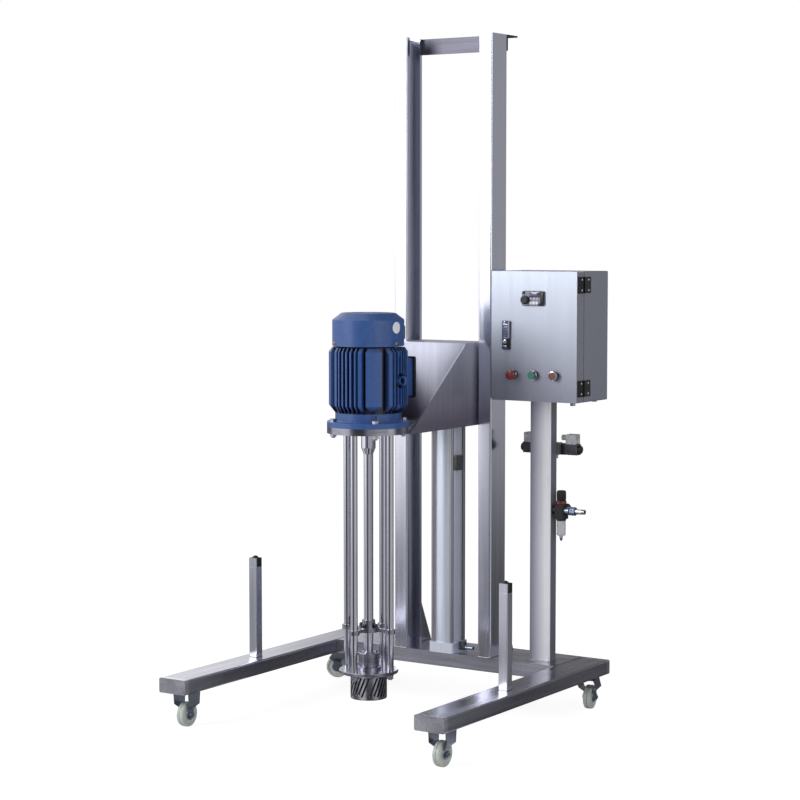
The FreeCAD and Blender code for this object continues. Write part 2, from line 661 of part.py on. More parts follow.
def lift_bracket():
    """Folded and welded carriage: two gussets, back plate, top plate and rear straps."""
    tip_y = HEAD_Y + math.sqrt(HEAD_PLATE_RADIUS ** 2 - GUSSET_INNER_HALF ** 2)
    plate_top = BRACKET_TOP - GUSSET_THICKNESS
    outline = [(tip_y, BRACKET_BOTTOM), (CARRIAGE_REAR, BRACKET_BOTTOM), (CARRIAGE_REAR, plate_top),
               (BRACKET_TOP_FRONT, plate_top)]
    pieces = []
    for side in (-1, 1):
        x0 = min(side * GUSSET_INNER_HALF, side * GUSSET_OUTER_HALF)
        pieces.append(plate_yz(outline, x0, x0 + GUSSET_THICKNESS))
    pieces.append(box(-GUSSET_INNER_HALF, GUSSET_INNER_HALF, BRACKET_TOP_FRONT,
                      BRACKET_TOP_FRONT + GUSSET_THICKNESS, BRACKET_BOTTOM, plate_top))
    pieces.append(box(-GUSSET_OUTER_HALF, GUSSET_OUTER_HALF, BRACKET_TOP_FRONT, CARRIAGE_REAR,
                      plate_top, BRACKET_TOP))
    for z0 in (BRACKET_BOTTOM, plate_top - REAR_STRAP_HEIGHT):
        pieces.append(box(-GUSSET_INNER_HALF, GUSSET_INNER_HALF, CARRIAGE_REAR - REAR_STRAP_THICKNESS,
                          CARRIAGE_REAR, z0, z0 + REAR_STRAP_HEIGHT))
    return fused(pieces)


def guide_shoes():
    """Plastic blocks that run inside the columns, each with a stem through the channel mouth."""
    pieces = []
    middle = (BEAM_FRONT_Y + COLUMN_REAR_Y) / 2
    mouth_half = COLUMN_DEPTH / 2 - COLUMN_WALL - COLUMN_LIP
    stem_half = min(SHOE_STEM_WIDTH / 2, mouth_half - SHOE_GAP)
    for side in (-1, 1):
        for z0 in (BRACKET_BOTTOM + SHOE_END_MARGIN,
                   BRACKET_TOP - SHOE_END_MARGIN - SHOE_HEIGHT):
            stem = box(GUSSET_OUTER_HALF, COLUMN_INNER_X + COLUMN_WALL + SHOE_GAP,
                       middle - stem_half, middle + stem_half, z0, z0 + SHOE_HEIGHT)
            shoe = box(COLUMN_INNER_X + COLUMN_WALL + SHOE_GAP,
                       COLUMN_OUTER_X - COLUMN_WALL - SHOE_GAP,
                       BEAM_FRONT_Y + COLUMN_WALL + SHOE_GAP,
                       COLUMN_REAR_Y - COLUMN_WALL - SHOE_GAP, z0, z0 + SHOE_HEIGHT)
            block = fused([stem, shoe])
            if side < 0:
                block = block.mirror(V(0, 0, 0), X_AXIS)
            pieces.append(block)
    return pieces


# Mixing head

def circle_points(radius, count, start_deg):
    """Points evenly spaced on a circle about the mixing axis."""
    points = []
    for step in range(count):
        angle = math.radians(start_deg + 360.0 * step / count)
        points.append((radius * math.cos(angle), HEAD_Y + radius * math.sin(angle)))
    return points


ROD_PLACES = circle_points(ROD_CIRCLE_RADIUS, 4, 0)
BOLT_PLACES = circle_points(FLANGE_BOLT_CIRCLE, 4, 45)


def head_plate():
    """Round plate that carries the motor, with a tongue back to the carriage."""
    disc = upright(HEAD_PLATE_RADIUS, 0, HEAD_Y, HEAD_PLATE_BOTTOM, HEAD_PLATE_TOP)
    disc = disc.common(box(-HEAD_PLATE_RADIUS, HEAD_PLATE_RADIUS, HEAD_Y - HEAD_PLATE_RADIUS,
                           HEAD_Y + math.sqrt(HEAD_PLATE_RADIUS ** 2 - GUSSET_INNER_HALF ** 2),
                           HEAD_PLATE_BOTTOM, HEAD_PLATE_TOP))
    tongue = box(-GUSSET_INNER_HALF, GUSSET_INNER_HALF, HEAD_Y, BRACKET_TOP_FRONT,
                 HEAD_PLATE_BOTTOM, HEAD_PLATE_TOP)
    plate = fused([disc, tongue])
    plate = plate.cut(upright(COUPLING_RADIUS + 2, 0, HEAD_Y, HEAD_PLATE_BOTTOM, HEAD_PLATE_TOP))
    for x, y in BOLT_PLACES:
        plate = plate.cut(upright(FLANGE_BOLT_RADIUS + 1, x, y, HEAD_PLATE_BOTTOM, HEAD_PLATE_TOP))
    return plate


def support_rods():
    """Four polished rods, each with a threaded stud through the bottom plate."""
    pieces = []
    for x, y in ROD_PLACES:
        bar = upright(ROD_RADIUS, x, y, BOTTOM_PLATE_TOP, HEAD_PLATE_BOTTOM)
        stud = upright(ROD_STUD_RADIUS, x, y, BOTTOM_PLATE_BOTTOM - 16, BOTTOM_PLATE_TOP)
        pieces.append(fused([bar, stud]))
    return pieces


def head_fasteners():
    """Rod nuts under the bottom plate and the four flange bolts with their nuts."""
    pieces = []
    for x, y in ROD_PLACES:
        washer = upright(ROD_RADIUS, x, y, BOTTOM_PLATE_BOTTOM - 2, BOTTOM_PLATE_BOTTOM)
        nut = hexagon(19.0, x, y, BOTTOM_PLATE_BOTTOM - 13, BOTTOM_PLATE_BOTTOM - 2)
        stud = upright(ROD_STUD_RADIUS, x, y, BOTTOM_PLATE_BOTTOM - 13, BOTTOM_PLATE_BOTTOM)
        pieces.append(fused([washer, nut]).cut(stud))
    for x, y in BOLT_PLACES:
        shank = upright(FLANGE_BOLT_RADIUS, x, y, HEAD_PLATE_BOTTOM - 14, FLANGE_TOP + 8)
        head = hexagon(19.0, x, y, FLANGE_TOP, FLANGE_TOP + 8)
        nut = hexagon(19.0, x, y, HEAD_PLATE_BOTTOM - 10, HEAD_PLATE_BOTTOM)
        pieces.append(fused([shank, head, nut]))
    return pieces


def steady_bearing():
    """Steady for the long shaft: a hub with four arms clamped on the rods."""
    z0 = STEADY_HEIGHT
    z1 = z0 + STEADY_THICKNESS
    hub = upright(STEADY_HUB_RADIUS, 0, HEAD_Y, z0, z1)
    collar = upright(STEADY_COLLAR_RADIUS, 0, HEAD_Y, z1, z1 + STEADY_COLLAR_HEIGHT)
    arm_half = 7.0
    reach = ROD_CIRCLE_RADIUS
    arms = [box(-reach, reach, HEAD_Y - arm_half, HEAD_Y + arm_half, z0 + 2, z1 - 2),
            box(-arm_half, arm_half, HEAD_Y - reach, HEAD_Y + reach, z0 + 2, z1 - 2)]
    eyes = [upright(ROD_RADIUS + 5, x, y, z0, z1) for x, y in ROD_PLACES]
    body = fused([hub, collar] + arms + eyes)
    body = body.cut(upright(SHAFT_RADIUS + SLIDING_GAP, 0, HEAD_Y, z0, z1 + STEADY_COLLAR_HEIGHT))
    for x, y in ROD_PLACES:
        body = body.cut(upright(ROD_RADIUS, x, y, z0, z1))
    pieces = [body]
    for x, y in circle_points(STEADY_HUB_RADIUS - 7, 4, 0):
        pieces.append(upright(5.5, x, y, z1, z1 + 9))
    return pieces


def bearing_housing():
    """Lower bearing housing on the bottom plate, with its bush."""
    z0 = BOTTOM_PLATE_TOP
    z1 = z0 + HOUSING_HEIGHT
    bush_radius = SHAFT_RADIUS + SLIDING_GAP + BUSH_WALL
    body = turned([(0, z0), (HOUSING_RADIUS + 6, z0), (HOUSING_RADIUS + 6, z0 + 8), (HOUSING_RADIUS, z0 + 10),
                   (HOUSING_RADIUS, z1 - 2), (HOUSING_RADIUS - 2, z1), (0, z1)], 0, HEAD_Y)
    body = body.cut(upright(bush_radius, 0, HEAD_Y, z0, z1))
    bush = upright_ring(bush_radius, SHAFT_RADIUS + SLIDING_GAP, 0, HEAD_Y, z0, z1 + 2)
    screws = [upright(4.0, x, y, z1, z1 + 5) for x, y in circle_points(HOUSING_RADIUS - 6.5, 4, 45)]
    return [body, bush] + screws


def bottom_plate():
    """Round plate at the foot of the rods, bored for the shaft and the rod studs."""
    plate = turned([(0, BOTTOM_PLATE_BOTTOM), (BOTTOM_PLATE_RADIUS - 1.5, BOTTOM_PLATE_BOTTOM),
                    (BOTTOM_PLATE_RADIUS, BOTTOM_PLATE_BOTTOM + 1.5),
                    (BOTTOM_PLATE_RADIUS, BOTTOM_PLATE_TOP - 1.5),
                    (BOTTOM_PLATE_RADIUS - 1.5, BOTTOM_PLATE_TOP), (0, BOTTOM_PLATE_TOP)], 0, HEAD_Y)
    plate = plate.cut(upright(SHAFT_RADIUS + 2, 0, HEAD_Y, BOTTOM_PLATE_BOTTOM, BOTTOM_PLATE_TOP))
    for x, y in ROD_PLACES:
        plate = plate.cut(upright(ROD_STUD_RADIUS, x, y, BOTTOM_PLATE_BOTTOM, BOTTOM_PLATE_TOP))
    return plate


def stator():
    """Stator cage: a flanged sleeve with groups of slanted slots and a solid lower ring."""
    top = BOTTOM_PLATE_BOTTOM
    flange_bottom = top - STATOR_FLANGE_THICKNESS
    sleeve = turned([(STATOR_INNER, STATOR_BOTTOM), (STATOR_RADIUS - 1, STATOR_BOTTOM),
                     (STATOR_RADIUS, STATOR_BOTTOM + 1), (STATOR_RADIUS, flange_bottom),
                     (STATOR_FLANGE_RADIUS, flange_bottom), (STATOR_FLANGE_RADIUS, top),
                     (STATOR_INNER, top)], 0, HEAD_Y)
    slot_low = STATOR_BOTTOM + STATOR_RING
    slot_high = flange_bottom - 2
    middle = (slot_low + slot_high) / 2
    length = slot_high - slot_low
    band = upright_ring(STATOR_RADIUS + 5, STATOR_INNER - 5, 0, HEAD_Y, slot_low, slot_high)
    cutter = box(STATOR_INNER - 3, STATOR_RADIUS + 3, HEAD_Y - SLOT_WIDTH / 2, HEAD_Y + SLOT_WIDTH / 2,
                 middle - length, middle + length)
    cutter.rotate(V(0, HEAD_Y, middle), X_AXIS, -SLOT_SLANT_DEG)
    cutter = cutter.common(band)
    step = 360.0 / (SLOT_GROUPS * (SLOTS_PER_GROUP + 1))
    cutters = []
    for group in range(SLOT_GROUPS):
        for index in range(SLOTS_PER_GROUP):
            angle = STATOR_TURN_DEG + step * (group * (SLOTS_PER_GROUP + 1) + index + 1)
            cutters.append(spun(cutter, angle, 0, HEAD_Y))
    return sleeve.cut(Part.makeCompound(cutters))


def rotor_head():
    """Toothed rotor that runs inside the stator."""
    z0 = STATOR_BOTTOM + 4
    z1 = BOTTOM_PLATE_BOTTOM - STATOR_FLANGE_THICKNESS - 4
    reach = STATOR_INNER - ROTOR_GAP
    hub = upright(ROTOR_HUB_RADIUS, 0, HEAD_Y, z0, z1)
    disc = upright(reach, 0, HEAD_Y, z1 - 6, z1)
    blades = []
    for index in range(ROTOR_BLADES):
        blade = box(0, reach, HEAD_Y - BLADE_THICKNESS / 2, HEAD_Y + BLADE_THICKNESS / 2, z0, z1)
        blades.append(spun(blade, 360.0 * index / ROTOR_BLADES, 0, HEAD_Y))
    body = fused([hub, disc] + blades).common(upright(reach, 0, HEAD_Y, z0, z1))
    return body.cut(upright(SHAFT_RADIUS - 4, 0, HEAD_Y, z0, z1))


def mixer_shaft():
    """Coupling sleeve over the motor shaft, cone and long shaft down to the rotor."""
    z_rotor_top = BOTTOM_PLATE_BOTTOM - STATOR_FLANGE_THICKNESS - 4
    z_end = STATOR_BOTTOM + 4
    bar = turned([(0, z_end), (SHAFT_RADIUS - 4, z_end), (SHAFT_RADIUS - 4, z_rotor_top),
                  (SHAFT_RADIUS, z_rotor_top), (SHAFT_RADIUS, COUPLING_BOTTOM - COUPLING_CONE),
                  (COUPLING_RADIUS, COUPLING_BOTTOM), (COUPLING_RADIUS, HEAD_PLATE_TOP - 1),
                  (0, HEAD_PLATE_TOP - 1)], 0, HEAD_Y)
    socket = upright(MOTOR_SHAFT_RADIUS, 0, HEAD_Y, COUPLING_BOTTOM, HEAD_PLATE_TOP)
    return bar.cut(socket)


# Motor

def fin_set():
    """Parallel cooling fins in four quadrants, the outer ones thicker, and four corner pads."""
    fins = []
    for index in range(-FIN_COUNT_SIDE, FIN_COUNT_SIDE + 1):
        offset = index * FIN_PITCH
        half = (THICK_FIN if abs(index) == FIN_COUNT_SIDE else FIN_THICKNESS) / 2
        fins.append(box(offset - half, offset + half, HEAD_Y - FIN_RADIUS,
                        HEAD_Y + FIN_RADIUS, FRAME_BOTTOM, FRAME_TOP))
        fins.append(box(-FIN_RADIUS, FIN_RADIUS, HEAD_Y + offset - half,
                        HEAD_Y + offset + half, FRAME_BOTTOM, FRAME_TOP))
    half = CORNER_PAD_WIDTH / 2
    bevel = FIN_TOP_BEVEL
    outline = [(HEAD_Y, FRAME_BOTTOM), (HEAD_Y + half, FRAME_BOTTOM + FIN_FOOT_BEVEL),
               (HEAD_Y + half, FRAME_TOP - bevel), (HEAD_Y + half - bevel * 0.6, FRAME_TOP),
               (HEAD_Y - half + bevel * 0.6, FRAME_TOP), (HEAD_Y - half, FRAME_TOP - bevel),
               (HEAD_Y - half, FRAME_BOTTOM + FIN_FOOT_BEVEL)]
    pad = plate_yz(outline, -FIN_RADIUS, FIN_RADIUS)
    fins.append(spun(pad, 45 - CORNER_PAD_TURN_DEG, 0, HEAD_Y))
    fins.append(spun(pad, -45 - CORNER_PAD_TURN_DEG, 0, HEAD_Y))
    return fins


def motor_frame():
    """Cast motor frame with parallel fins, corner pads and seats for the terminal box and eye."""
    z0 = FRAME_BOTTOM
    z1 = FRAME_TOP
    envelope = turned([(0, z0), (NECK_RADIUS, z0), (FIN_RADIUS, z0 + FIN_FOOT_BEVEL),
                       (FIN_RADIUS, z1 - FIN_TOP_BEVEL), (FIN_RADIUS - 10, z1), (0, z1)], 0, HEAD_Y)
    core = upright(FRAME_CORE_RADIUS, 0, HEAD_Y, z0, z1)
    whole = fused(fin_set()).common(envelope)
    boss = rod(15.0, V(0, HEAD_Y, MOTOR_MID_Z), X_AXIS, EYE_SEAT)
    room = rod(23.0, V(FRAME_CORE_RADIUS, HEAD_Y, MOTOR_MID_Z), X_AXIS, FIN_RADIUS)
    seat = box(-TERMINAL_WIDTH / 2, TERMINAL_WIDTH / 2, HEAD_Y, HEAD_Y + TERMINAL_SEAT,
               MOTOR_MID_Z - TERMINAL_HEIGHT / 2, MOTOR_MID_Z + TERMINAL_HEIGHT / 2)
    above_seat = box(-FIN_RADIUS, FIN_RADIUS, HEAD_Y + TERMINAL_SEAT, HEAD_Y + 2 * FIN_RADIUS, z0, z1)
    foot_half = FIN_PITCH * FIN_COUNT_SIDE
    foot = box(-FIN_RADIUS, 0, HEAD_Y - foot_half, HEAD_Y + foot_half, z0 + 2, z1 - 2).common(envelope)
    slot_outline = [(-FRAME_CORE_RADIUS - 4, z0 + 52), (-FRAME_CORE_RADIUS + 7, z0 + 46),
                    (-FRAME_CORE_RADIUS + 7, z1 - 40), (-FRAME_CORE_RADIUS - 4, z1 - 46)]
    front_slot = plate_xz(slot_outline, HEAD_Y - foot_half - THICK_FIN, HEAD_Y - foot_half + 14)
    rear_slot = plate_xz(slot_outline, HEAD_Y + foot_half - 14, HEAD_Y + foot_half + THICK_FIN)
    whole = whole.cut(room).cut(above_seat)
    lugs = []
    for low in (z0 + 12, z1 - 26):
        lug = box(0, FIN_RADIUS - 3, HEAD_Y - 7, HEAD_Y + 7, low, low + 16)
        lugs.append(spun(lug, COWL_SCREW_START_DEG, 0, HEAD_Y).common(envelope))
    whole = fused([whole, foot]).cut(front_slot).cut(rear_slot)
    whole = fused([whole, core, boss, seat] + lugs)
    bore = upright(FRAME_BORE_RADIUS, 0, HEAD_Y, z0, z1 - 16)
    shaft_hole = upright(MOTOR_SHAFT_RADIUS - 1.5 + SLIDING_GAP, 0, HEAD_Y, z1 - 16, z1)
    eye_hole = rod(5.0, V(FRAME_CORE_RADIUS - 10, HEAD_Y, MOTOR_MID_Z), X_AXIS, 60)
    return whole.cut(bore).cut(shaft_hole).cut(eye_hole)


def motor_flange():
    """Drive-end shield: the bolted flange and the neck up to the frame."""
    body = turned([(0, HEAD_PLATE_TOP), (FLANGE_RADIUS, HEAD_PLATE_TOP), (FLANGE_RADIUS, FLANGE_TOP - 1.5),
                   (FLANGE_RADIUS - 1.5, FLANGE_TOP), (NECK_RADIUS + 3, FLANGE_TOP),
                   (NECK_RADIUS, FLANGE_TOP + 4), (NECK_RADIUS, FRAME_BOTTOM), (0, FRAME_BOTTOM)],
                  0, HEAD_Y)
    for x, y in BOLT_PLACES:
        body = body.cut(upright(13.0, x, y, FLANGE_TOP, FRAME_BOTTOM - 4))
        body = body.cut(upright(FLANGE_BOLT_RADIUS + 1, x, y, HEAD_PLATE_TOP, FLANGE_TOP))
    body = body.cut(upright(FRAME_BORE_RADIUS, 0, HEAD_Y, FRAME_BOTTOM - 12, FRAME_BOTTOM))
    return body.cut(upright(MOTOR_SHAFT_RADIUS + SLIDING_GAP, 0, HEAD_Y, HEAD_PLATE_TOP, FRAME_BOTTOM))


def motor_rotor():
    """Motor shaft with its rotor core."""
    core_radius = FRAME_BORE_RADIUS - ROTOR_CORE_GAP
    return turned([(0, COUPLING_BOTTOM), (MOTOR_SHAFT_RADIUS, COUPLING_BOTTOM),
                   (MOTOR_SHAFT_RADIUS, FRAME_BOTTOM), (MOTOR_SHAFT_RADIUS + 4, FRAME_BOTTOM + 2),
                   (MOTOR_SHAFT_RADIUS + 4, FRAME_BOTTOM + 30),
                   (core_radius, FRAME_BOTTOM + 30), (core_radius, FRAME_TOP - 46),
                   (MOTOR_SHAFT_RADIUS, FRAME_TOP - 46), (MOTOR_SHAFT_RADIUS, FRAME_TOP - 18),
                   (MOTOR_SHAFT_RADIUS - 1.5, FRAME_TOP - 18),
                   (MOTOR_SHAFT_RADIUS - 1.5, COWL_SHOULDER - 12), (0, COWL_SHOULDER - 12)],
                  0, HEAD_Y)


def cooling_fan():
    """Radial fan on the upper end of the motor shaft."""
    z0 = COWL_BOTTOM + 18
    z1 = COWL_SHOULDER - 18
    reach = COWL_RADIUS - COWL_WALL - 10
    hub = upright(26.0, 0, HEAD_Y, z0, z1)
    disc = upright(reach, 0, HEAD_Y, z0, z0 + 3)
    blades = []
    for index in range(8):
        blade = box(20, reach, HEAD_Y - 1.5, HEAD_Y + 1.5, z0, z1)
        blades.append(spun(blade, 45.0 * index, 0, HEAD_Y))
    body = fused([hub, disc] + blades).common(upright(reach, 0, HEAD_Y, z0, z1))
    return body.cut(upright(MOTOR_SHAFT_RADIUS - 1.5, 0, HEAD_Y, z0, z1))


def fan_cowl():
    """Pressed fan cowl with a chamfered shoulder and a ring grille on top, and its screws."""
    wall = COWL_WALL
    shell = turned([(COWL_RADIUS - wall, COWL_BOTTOM), (COWL_RADIUS, COWL_BOTTOM),
                    (COWL_RADIUS, COWL_SHOULDER), (COWL_TOP_RADIUS, COWL_TOP), (0, COWL_TOP),
                    (0, COWL_TOP - wall), (COWL_TOP_RADIUS - wall, COWL_TOP - wall),
                    (COWL_RADIUS - wall, COWL_SHOULDER - wall)], 0, HEAD_Y)
    spokes = []
    for index in range(4):
        bar = box(0, COWL_RADIUS, HEAD_Y - 5, HEAD_Y + 5, COWL_TOP - wall, COWL_TOP)
        spokes.append(spun(bar, 90.0 * index + 45, 0, HEAD_Y))
    gaps = []
    radius = 22.0
    while radius + 5 < COWL_TOP_RADIUS - 6:
        gaps.append(upright_ring(radius + 5, radius, 0, HEAD_Y, COWL_TOP - wall, COWL_TOP))
        radius += 11.0
    slits = Part.makeCompound(gaps).cut(fused(spokes))
    shell = shell.cut(slits)
    lugs = []
    screws = []
    for index in range(COWL_SCREWS):
        turn = COWL_SCREW_START_DEG + 360.0 * index / COWL_SCREWS
        lug = box(FIN_RADIUS - 26, COWL_RADIUS - wall, HEAD_Y - 7, HEAD_Y + 7, COWL_BOTTOM - COWL_GAP,
                  COWL_BOTTOM + 14)
        lugs.append(spun(lug, turn, 0, HEAD_Y))
        head = rod(5.0, V(COWL_RADIUS - 0.6, HEAD_Y, COWL_BOTTOM + 8), X_AXIS, 2.6)
        screws.append(spun(head, turn, 0, HEAD_Y))
    skirt = fused([shell] + lugs)
    for screw in screws:
        skirt = skirt.cut(screw)
    return [skirt] + screws


def terminal_box():
    """Terminal box on the rear of the motor: body, overhanging lid and its cable gland."""
    y0 = HEAD_Y + TERMINAL_SEAT
    half = TERMINAL_WIDTH / 2
    low = MOTOR_MID_Z - TERMINAL_HEIGHT / 2
    high = MOTOR_MID_Z + TERMINAL_HEIGHT / 2
    body = rounded(box(-half, half, y0, y0 + TERMINAL_DEPTH, low, high), 6.0, Y_AXIS)
    lid = rounded(box(-half - 5, half + 5, y0 + TERMINAL_DEPTH, y0 + TERMINAL_DEPTH + TERMINAL_LID,
                      low - 4, high + 4), 6.0, Y_AXIS)
    middle = y0 + TERMINAL_DEPTH / 2
    gland = fused([rod(14.0, V(-half - 8, middle, MOTOR_MID_Z), X_AXIS, 8),
                   rod(11.0, V(-half - 22, middle, MOTOR_MID_Z), X_AXIS, 14)])
    gland = gland.cut(rod(6.0, V(-half - 22, middle, MOTOR_MID_Z), X_AXIS, 18))
    return [body, gland], [lid]


def lifting_eye():
    """Eye bolt screwed into the boss on the side of the frame."""
    ring_x = EYE_SEAT + 4.5 + EYE_RING_RADIUS
    ring = Part.makeTorus(EYE_RING_RADIUS, EYE_WIRE_RADIUS, V(ring_x, HEAD_Y, MOTOR_MID_Z), Y_AXIS)
    collar = rod(9.0, V(EYE_SEAT, HEAD_Y, MOTOR_MID_Z), X_AXIS, 3)
    neck = rod(4.5, V(EYE_SEAT, HEAD_Y, MOTOR_MID_Z), X_AXIS, 5)
    shank = rod(5.0, V(FRAME_CORE_RADIUS - 10, HEAD_Y, MOTOR_MID_Z), X_AXIS,
                EYE_SEAT - FRAME_CORE_RADIUS + 10)
    return fused([ring, collar, neck, shank])


# Control cabinet

def box_post():
    """Rectangular tube that carries the cabinet."""
    outer = rounded(box(POST_LEFT, POST_RIGHT, POST_FRONT, POST_REAR, BASE_TOP, CABINET_BOTTOM),
                    POST_CORNER, Z_AXIS)
    inner = box(POST_LEFT + POST_WALL, POST_RIGHT - POST_WALL, POST_FRONT + POST_WALL,
                POST_REAR - POST_WALL, BASE_TOP, CABINET_BOTTOM)
    return outer.cut(rounded(inner, POST_CORNER - POST_WALL, Z_AXIS))


def cabinet_body():
    """Cabinet shell, open at the front."""
    outer = rounded(box(CABINET_LEFT, CABINET_RIGHT, BODY_FRONT, CABINET_REAR,
                        CABINET_BOTTOM, CABINET_TOP), CABINET_EDGE, Y_AXIS)
    inner = box(CABINET_LEFT + CABINET_SHEET, CABINET_RIGHT - CABINET_SHEET, BODY_FRONT,
                CABINET_REAR - CABINET_SHEET, CABINET_BOTTOM + CABINET_SHEET, CABINET_TOP - CABINET_SHEET)
    shell = outer.cut(inner)
    lip = box(CABINET_LEFT + CABINET_SHEET, CABINET_RIGHT - CABINET_SHEET, BODY_FRONT,
              BODY_FRONT + CABINET_SHEET, CABINET_BOTTOM + CABINET_SHEET, CABINET_TOP - CABINET_SHEET)
    window = box(CABINET_LEFT + 14, CABINET_RIGHT - 14, BODY_FRONT, BODY_FRONT + CABINET_SHEET,
                 CABINET_BOTTOM + 14, CABINET_TOP - 14)
    return fused([shell, lip.cut(window)])


def button_places():
    """Centres of the three push buttons on the door front, as (X, Z)."""
    z = CABINET_BOTTOM + BUTTON_ROW_HEIGHT
    return [(CABINET_LEFT + BUTTON_FIRST_OFFSET + BUTTON_PITCH * index, z) for index in range(3)]


def cabinet_door():
    """Door pan with holes for the buttons, the keypad and the lock."""
    outer = rounded(box(CABINET_LEFT, CABINET_RIGHT, CABINET_FRONT, DOOR_REAR,
                        CABINET_BOTTOM, CABINET_TOP), CABINET_EDGE, Y_AXIS)
    inner = box(CABINET_LEFT + CABINET_SHEET, CABINET_RIGHT - CABINET_SHEET,
                CABINET_FRONT + CABINET_SHEET, DOOR_REAR,
                CABINET_BOTTOM + CABINET_SHEET, CABINET_TOP - CABINET_SHEET)
    pan = outer.cut(inner)
    for x, z in button_places():
        pan = pan.cut(rod(BUTTON_BARREL_RADIUS, V(x, CABINET_FRONT, z), Y_AXIS, CABINET_SHEET))
    return pan


def button_collar(x, z):
    """Front ring, threaded barrel and contact block of one push button."""
    ring = rod(COLLAR_RADIUS, V(x, CABINET_FRONT - COLLAR_LENGTH, z), Y_AXIS, COLLAR_LENGTH)
    barrel = rod(BUTTON_BARREL_RADIUS, V(x, CABINET_FRONT, z), Y_AXIS, 14)
    lock_nut = rod(COLLAR_RADIUS, V(x, CABINET_FRONT + CABINET_SHEET, z), Y_AXIS, 4)
    block = box(x - 14, x + 14, CABINET_FRONT + 14, CABINET_FRONT + 36, z - 15, z + 15)
    body = fused([ring, barrel, lock_nut, block])
    return body.cut(rod(BUTTON_BORE_RADIUS, V(x, CABINET_FRONT - COLLAR_LENGTH, z), Y_AXIS,
                        COLLAR_LENGTH + 18))


def hinge_heights():
    """Lower ends of the two hinges."""
    return (CABINET_BOTTOM + LOWER_HINGE_OFFSET, CABINET_BOTTOM + UPPER_HINGE_OFFSET)


def hinge_fixed(z0):
    """Leaf on the cabinet side with its two outer knuckles and the pin."""
    third = HINGE_HEIGHT / 3
    leaf = box(CABINET_RIGHT, CABINET_RIGHT + HINGE_LEAF_THICKNESS, BODY_FRONT + 4,
               BODY_FRONT + HINGE_LEAF, z0, z0 + HINGE_HEIGHT)
    web = box(CABINET_RIGHT + 0.4, CABINET_RIGHT + HINGE_LEAF_THICKNESS, HINGE_Y, BODY_FRONT + 5,
              z0, z0 + HINGE_HEIGHT)
    knuckles = upright(HINGE_BARREL_RADIUS, HINGE_X, HINGE_Y, z0, z0 + HINGE_HEIGHT)
    gap = box(CABINET_RIGHT - 1, CABINET_RIGHT + 20, HINGE_Y - 10, BODY_FRONT + 4,
              z0 + third, z0 + HINGE_HEIGHT - third)
    pin = upright(HINGE_PIN_RADIUS, HINGE_X, HINGE_Y, z0, z0 + HINGE_HEIGHT)
    return fused([fused([web, knuckles]).cut(gap), leaf, pin])


def hinge_moving(z0):
    """Leaf on the door side with the middle knuckle, bored for the pin."""
    third = HINGE_HEIGHT / 3
    low = z0 + third + 0.4
    high = z0 + HINGE_HEIGHT - third - 0.4
    leaf = box(CABINET_RIGHT, CABINET_RIGHT + HINGE_LEAF_THICKNESS, DOOR_REAR - HINGE_LEAF,
               DOOR_REAR - 3.5, z0, z0 + HINGE_HEIGHT)
    web = box(CABINET_RIGHT + 0.4, CABINET_RIGHT + HINGE_LEAF_THICKNESS, DOOR_REAR - 5, HINGE_Y,
              low, high)
    knuckle = upright(HINGE_BARREL_RADIUS, HINGE_X, HINGE_Y, low, high)
    body = fused([leaf, web, knuckle])
    return body.cut(upright(HINGE_PIN_RADIUS + SLIDING_GAP, HINGE_X, HINGE_Y, z0, z0 + HINGE_HEIGHT))


LOCK_X0 = CABINET_LEFT + LOCK_LEFT
LOCK_Z0 = CABINET_BOTTOM + LOCK_BOTTOM
LOCK_PIVOT_Z = LOCK_Z0 + LOCK_HEIGHT - 12
LOCK_PIVOT_Y = CABINET_FRONT - 3.0


def lock_bezel():
    """Lock frame on the door front with the recess for its handle and the key cylinder."""
    y0 = CABINET_FRONT - LOCK_THICKNESS
    frame = rounded(box(LOCK_X0, LOCK_X0 + LOCK_WIDTH, y0, CABINET_FRONT, LOCK_Z0, LOCK_Z0 + LOCK_HEIGHT),
                    3.0, Y_AXIS)
    recess = box(LOCK_X0 + 5, LOCK_X0 + LOCK_WIDTH - 5, y0, CABINET_FRONT - 1,
                 LOCK_Z0 + 32, LOCK_Z0 + LOCK_HEIGHT - 5)
    keyway = box(LOCK_X0 + LOCK_WIDTH / 2 - 1, LOCK_X0 + LOCK_WIDTH / 2 + 1, y0 - 3, y0 - 1,
                 LOCK_Z0 + 12, LOCK_Z0 + 20)
    cylinder = rod(8.0, V(LOCK_X0 + LOCK_WIDTH / 2, y0 - 3, LOCK_Z0 + 16), Y_AXIS, 3)
    return fused([frame.cut(recess), cylinder.cut(keyway)])


def lock_handle():
    """Lift-up handle that lies in the recess of the lock frame."""
    x0 = LOCK_X0 + 5.5
    x1 = LOCK_X0 + LOCK_WIDTH - 5.5
    bar = box(x0, x1, CABINET_FRONT - 7, CABINET_FRONT - 3, LOCK_Z0 + 34, LOCK_PIVOT_Z)
    eye = rod(3.6, V(x0, LOCK_PIVOT_Y - 2, LOCK_PIVOT_Z), X_AXIS, x1 - x0)
    lip = box(x0, x1, CABINET_FRONT - 9, CABINET_FRONT - 3, LOCK_Z0 + 34, LOCK_Z0 + 38)
    return fused([bar, eye, lip])


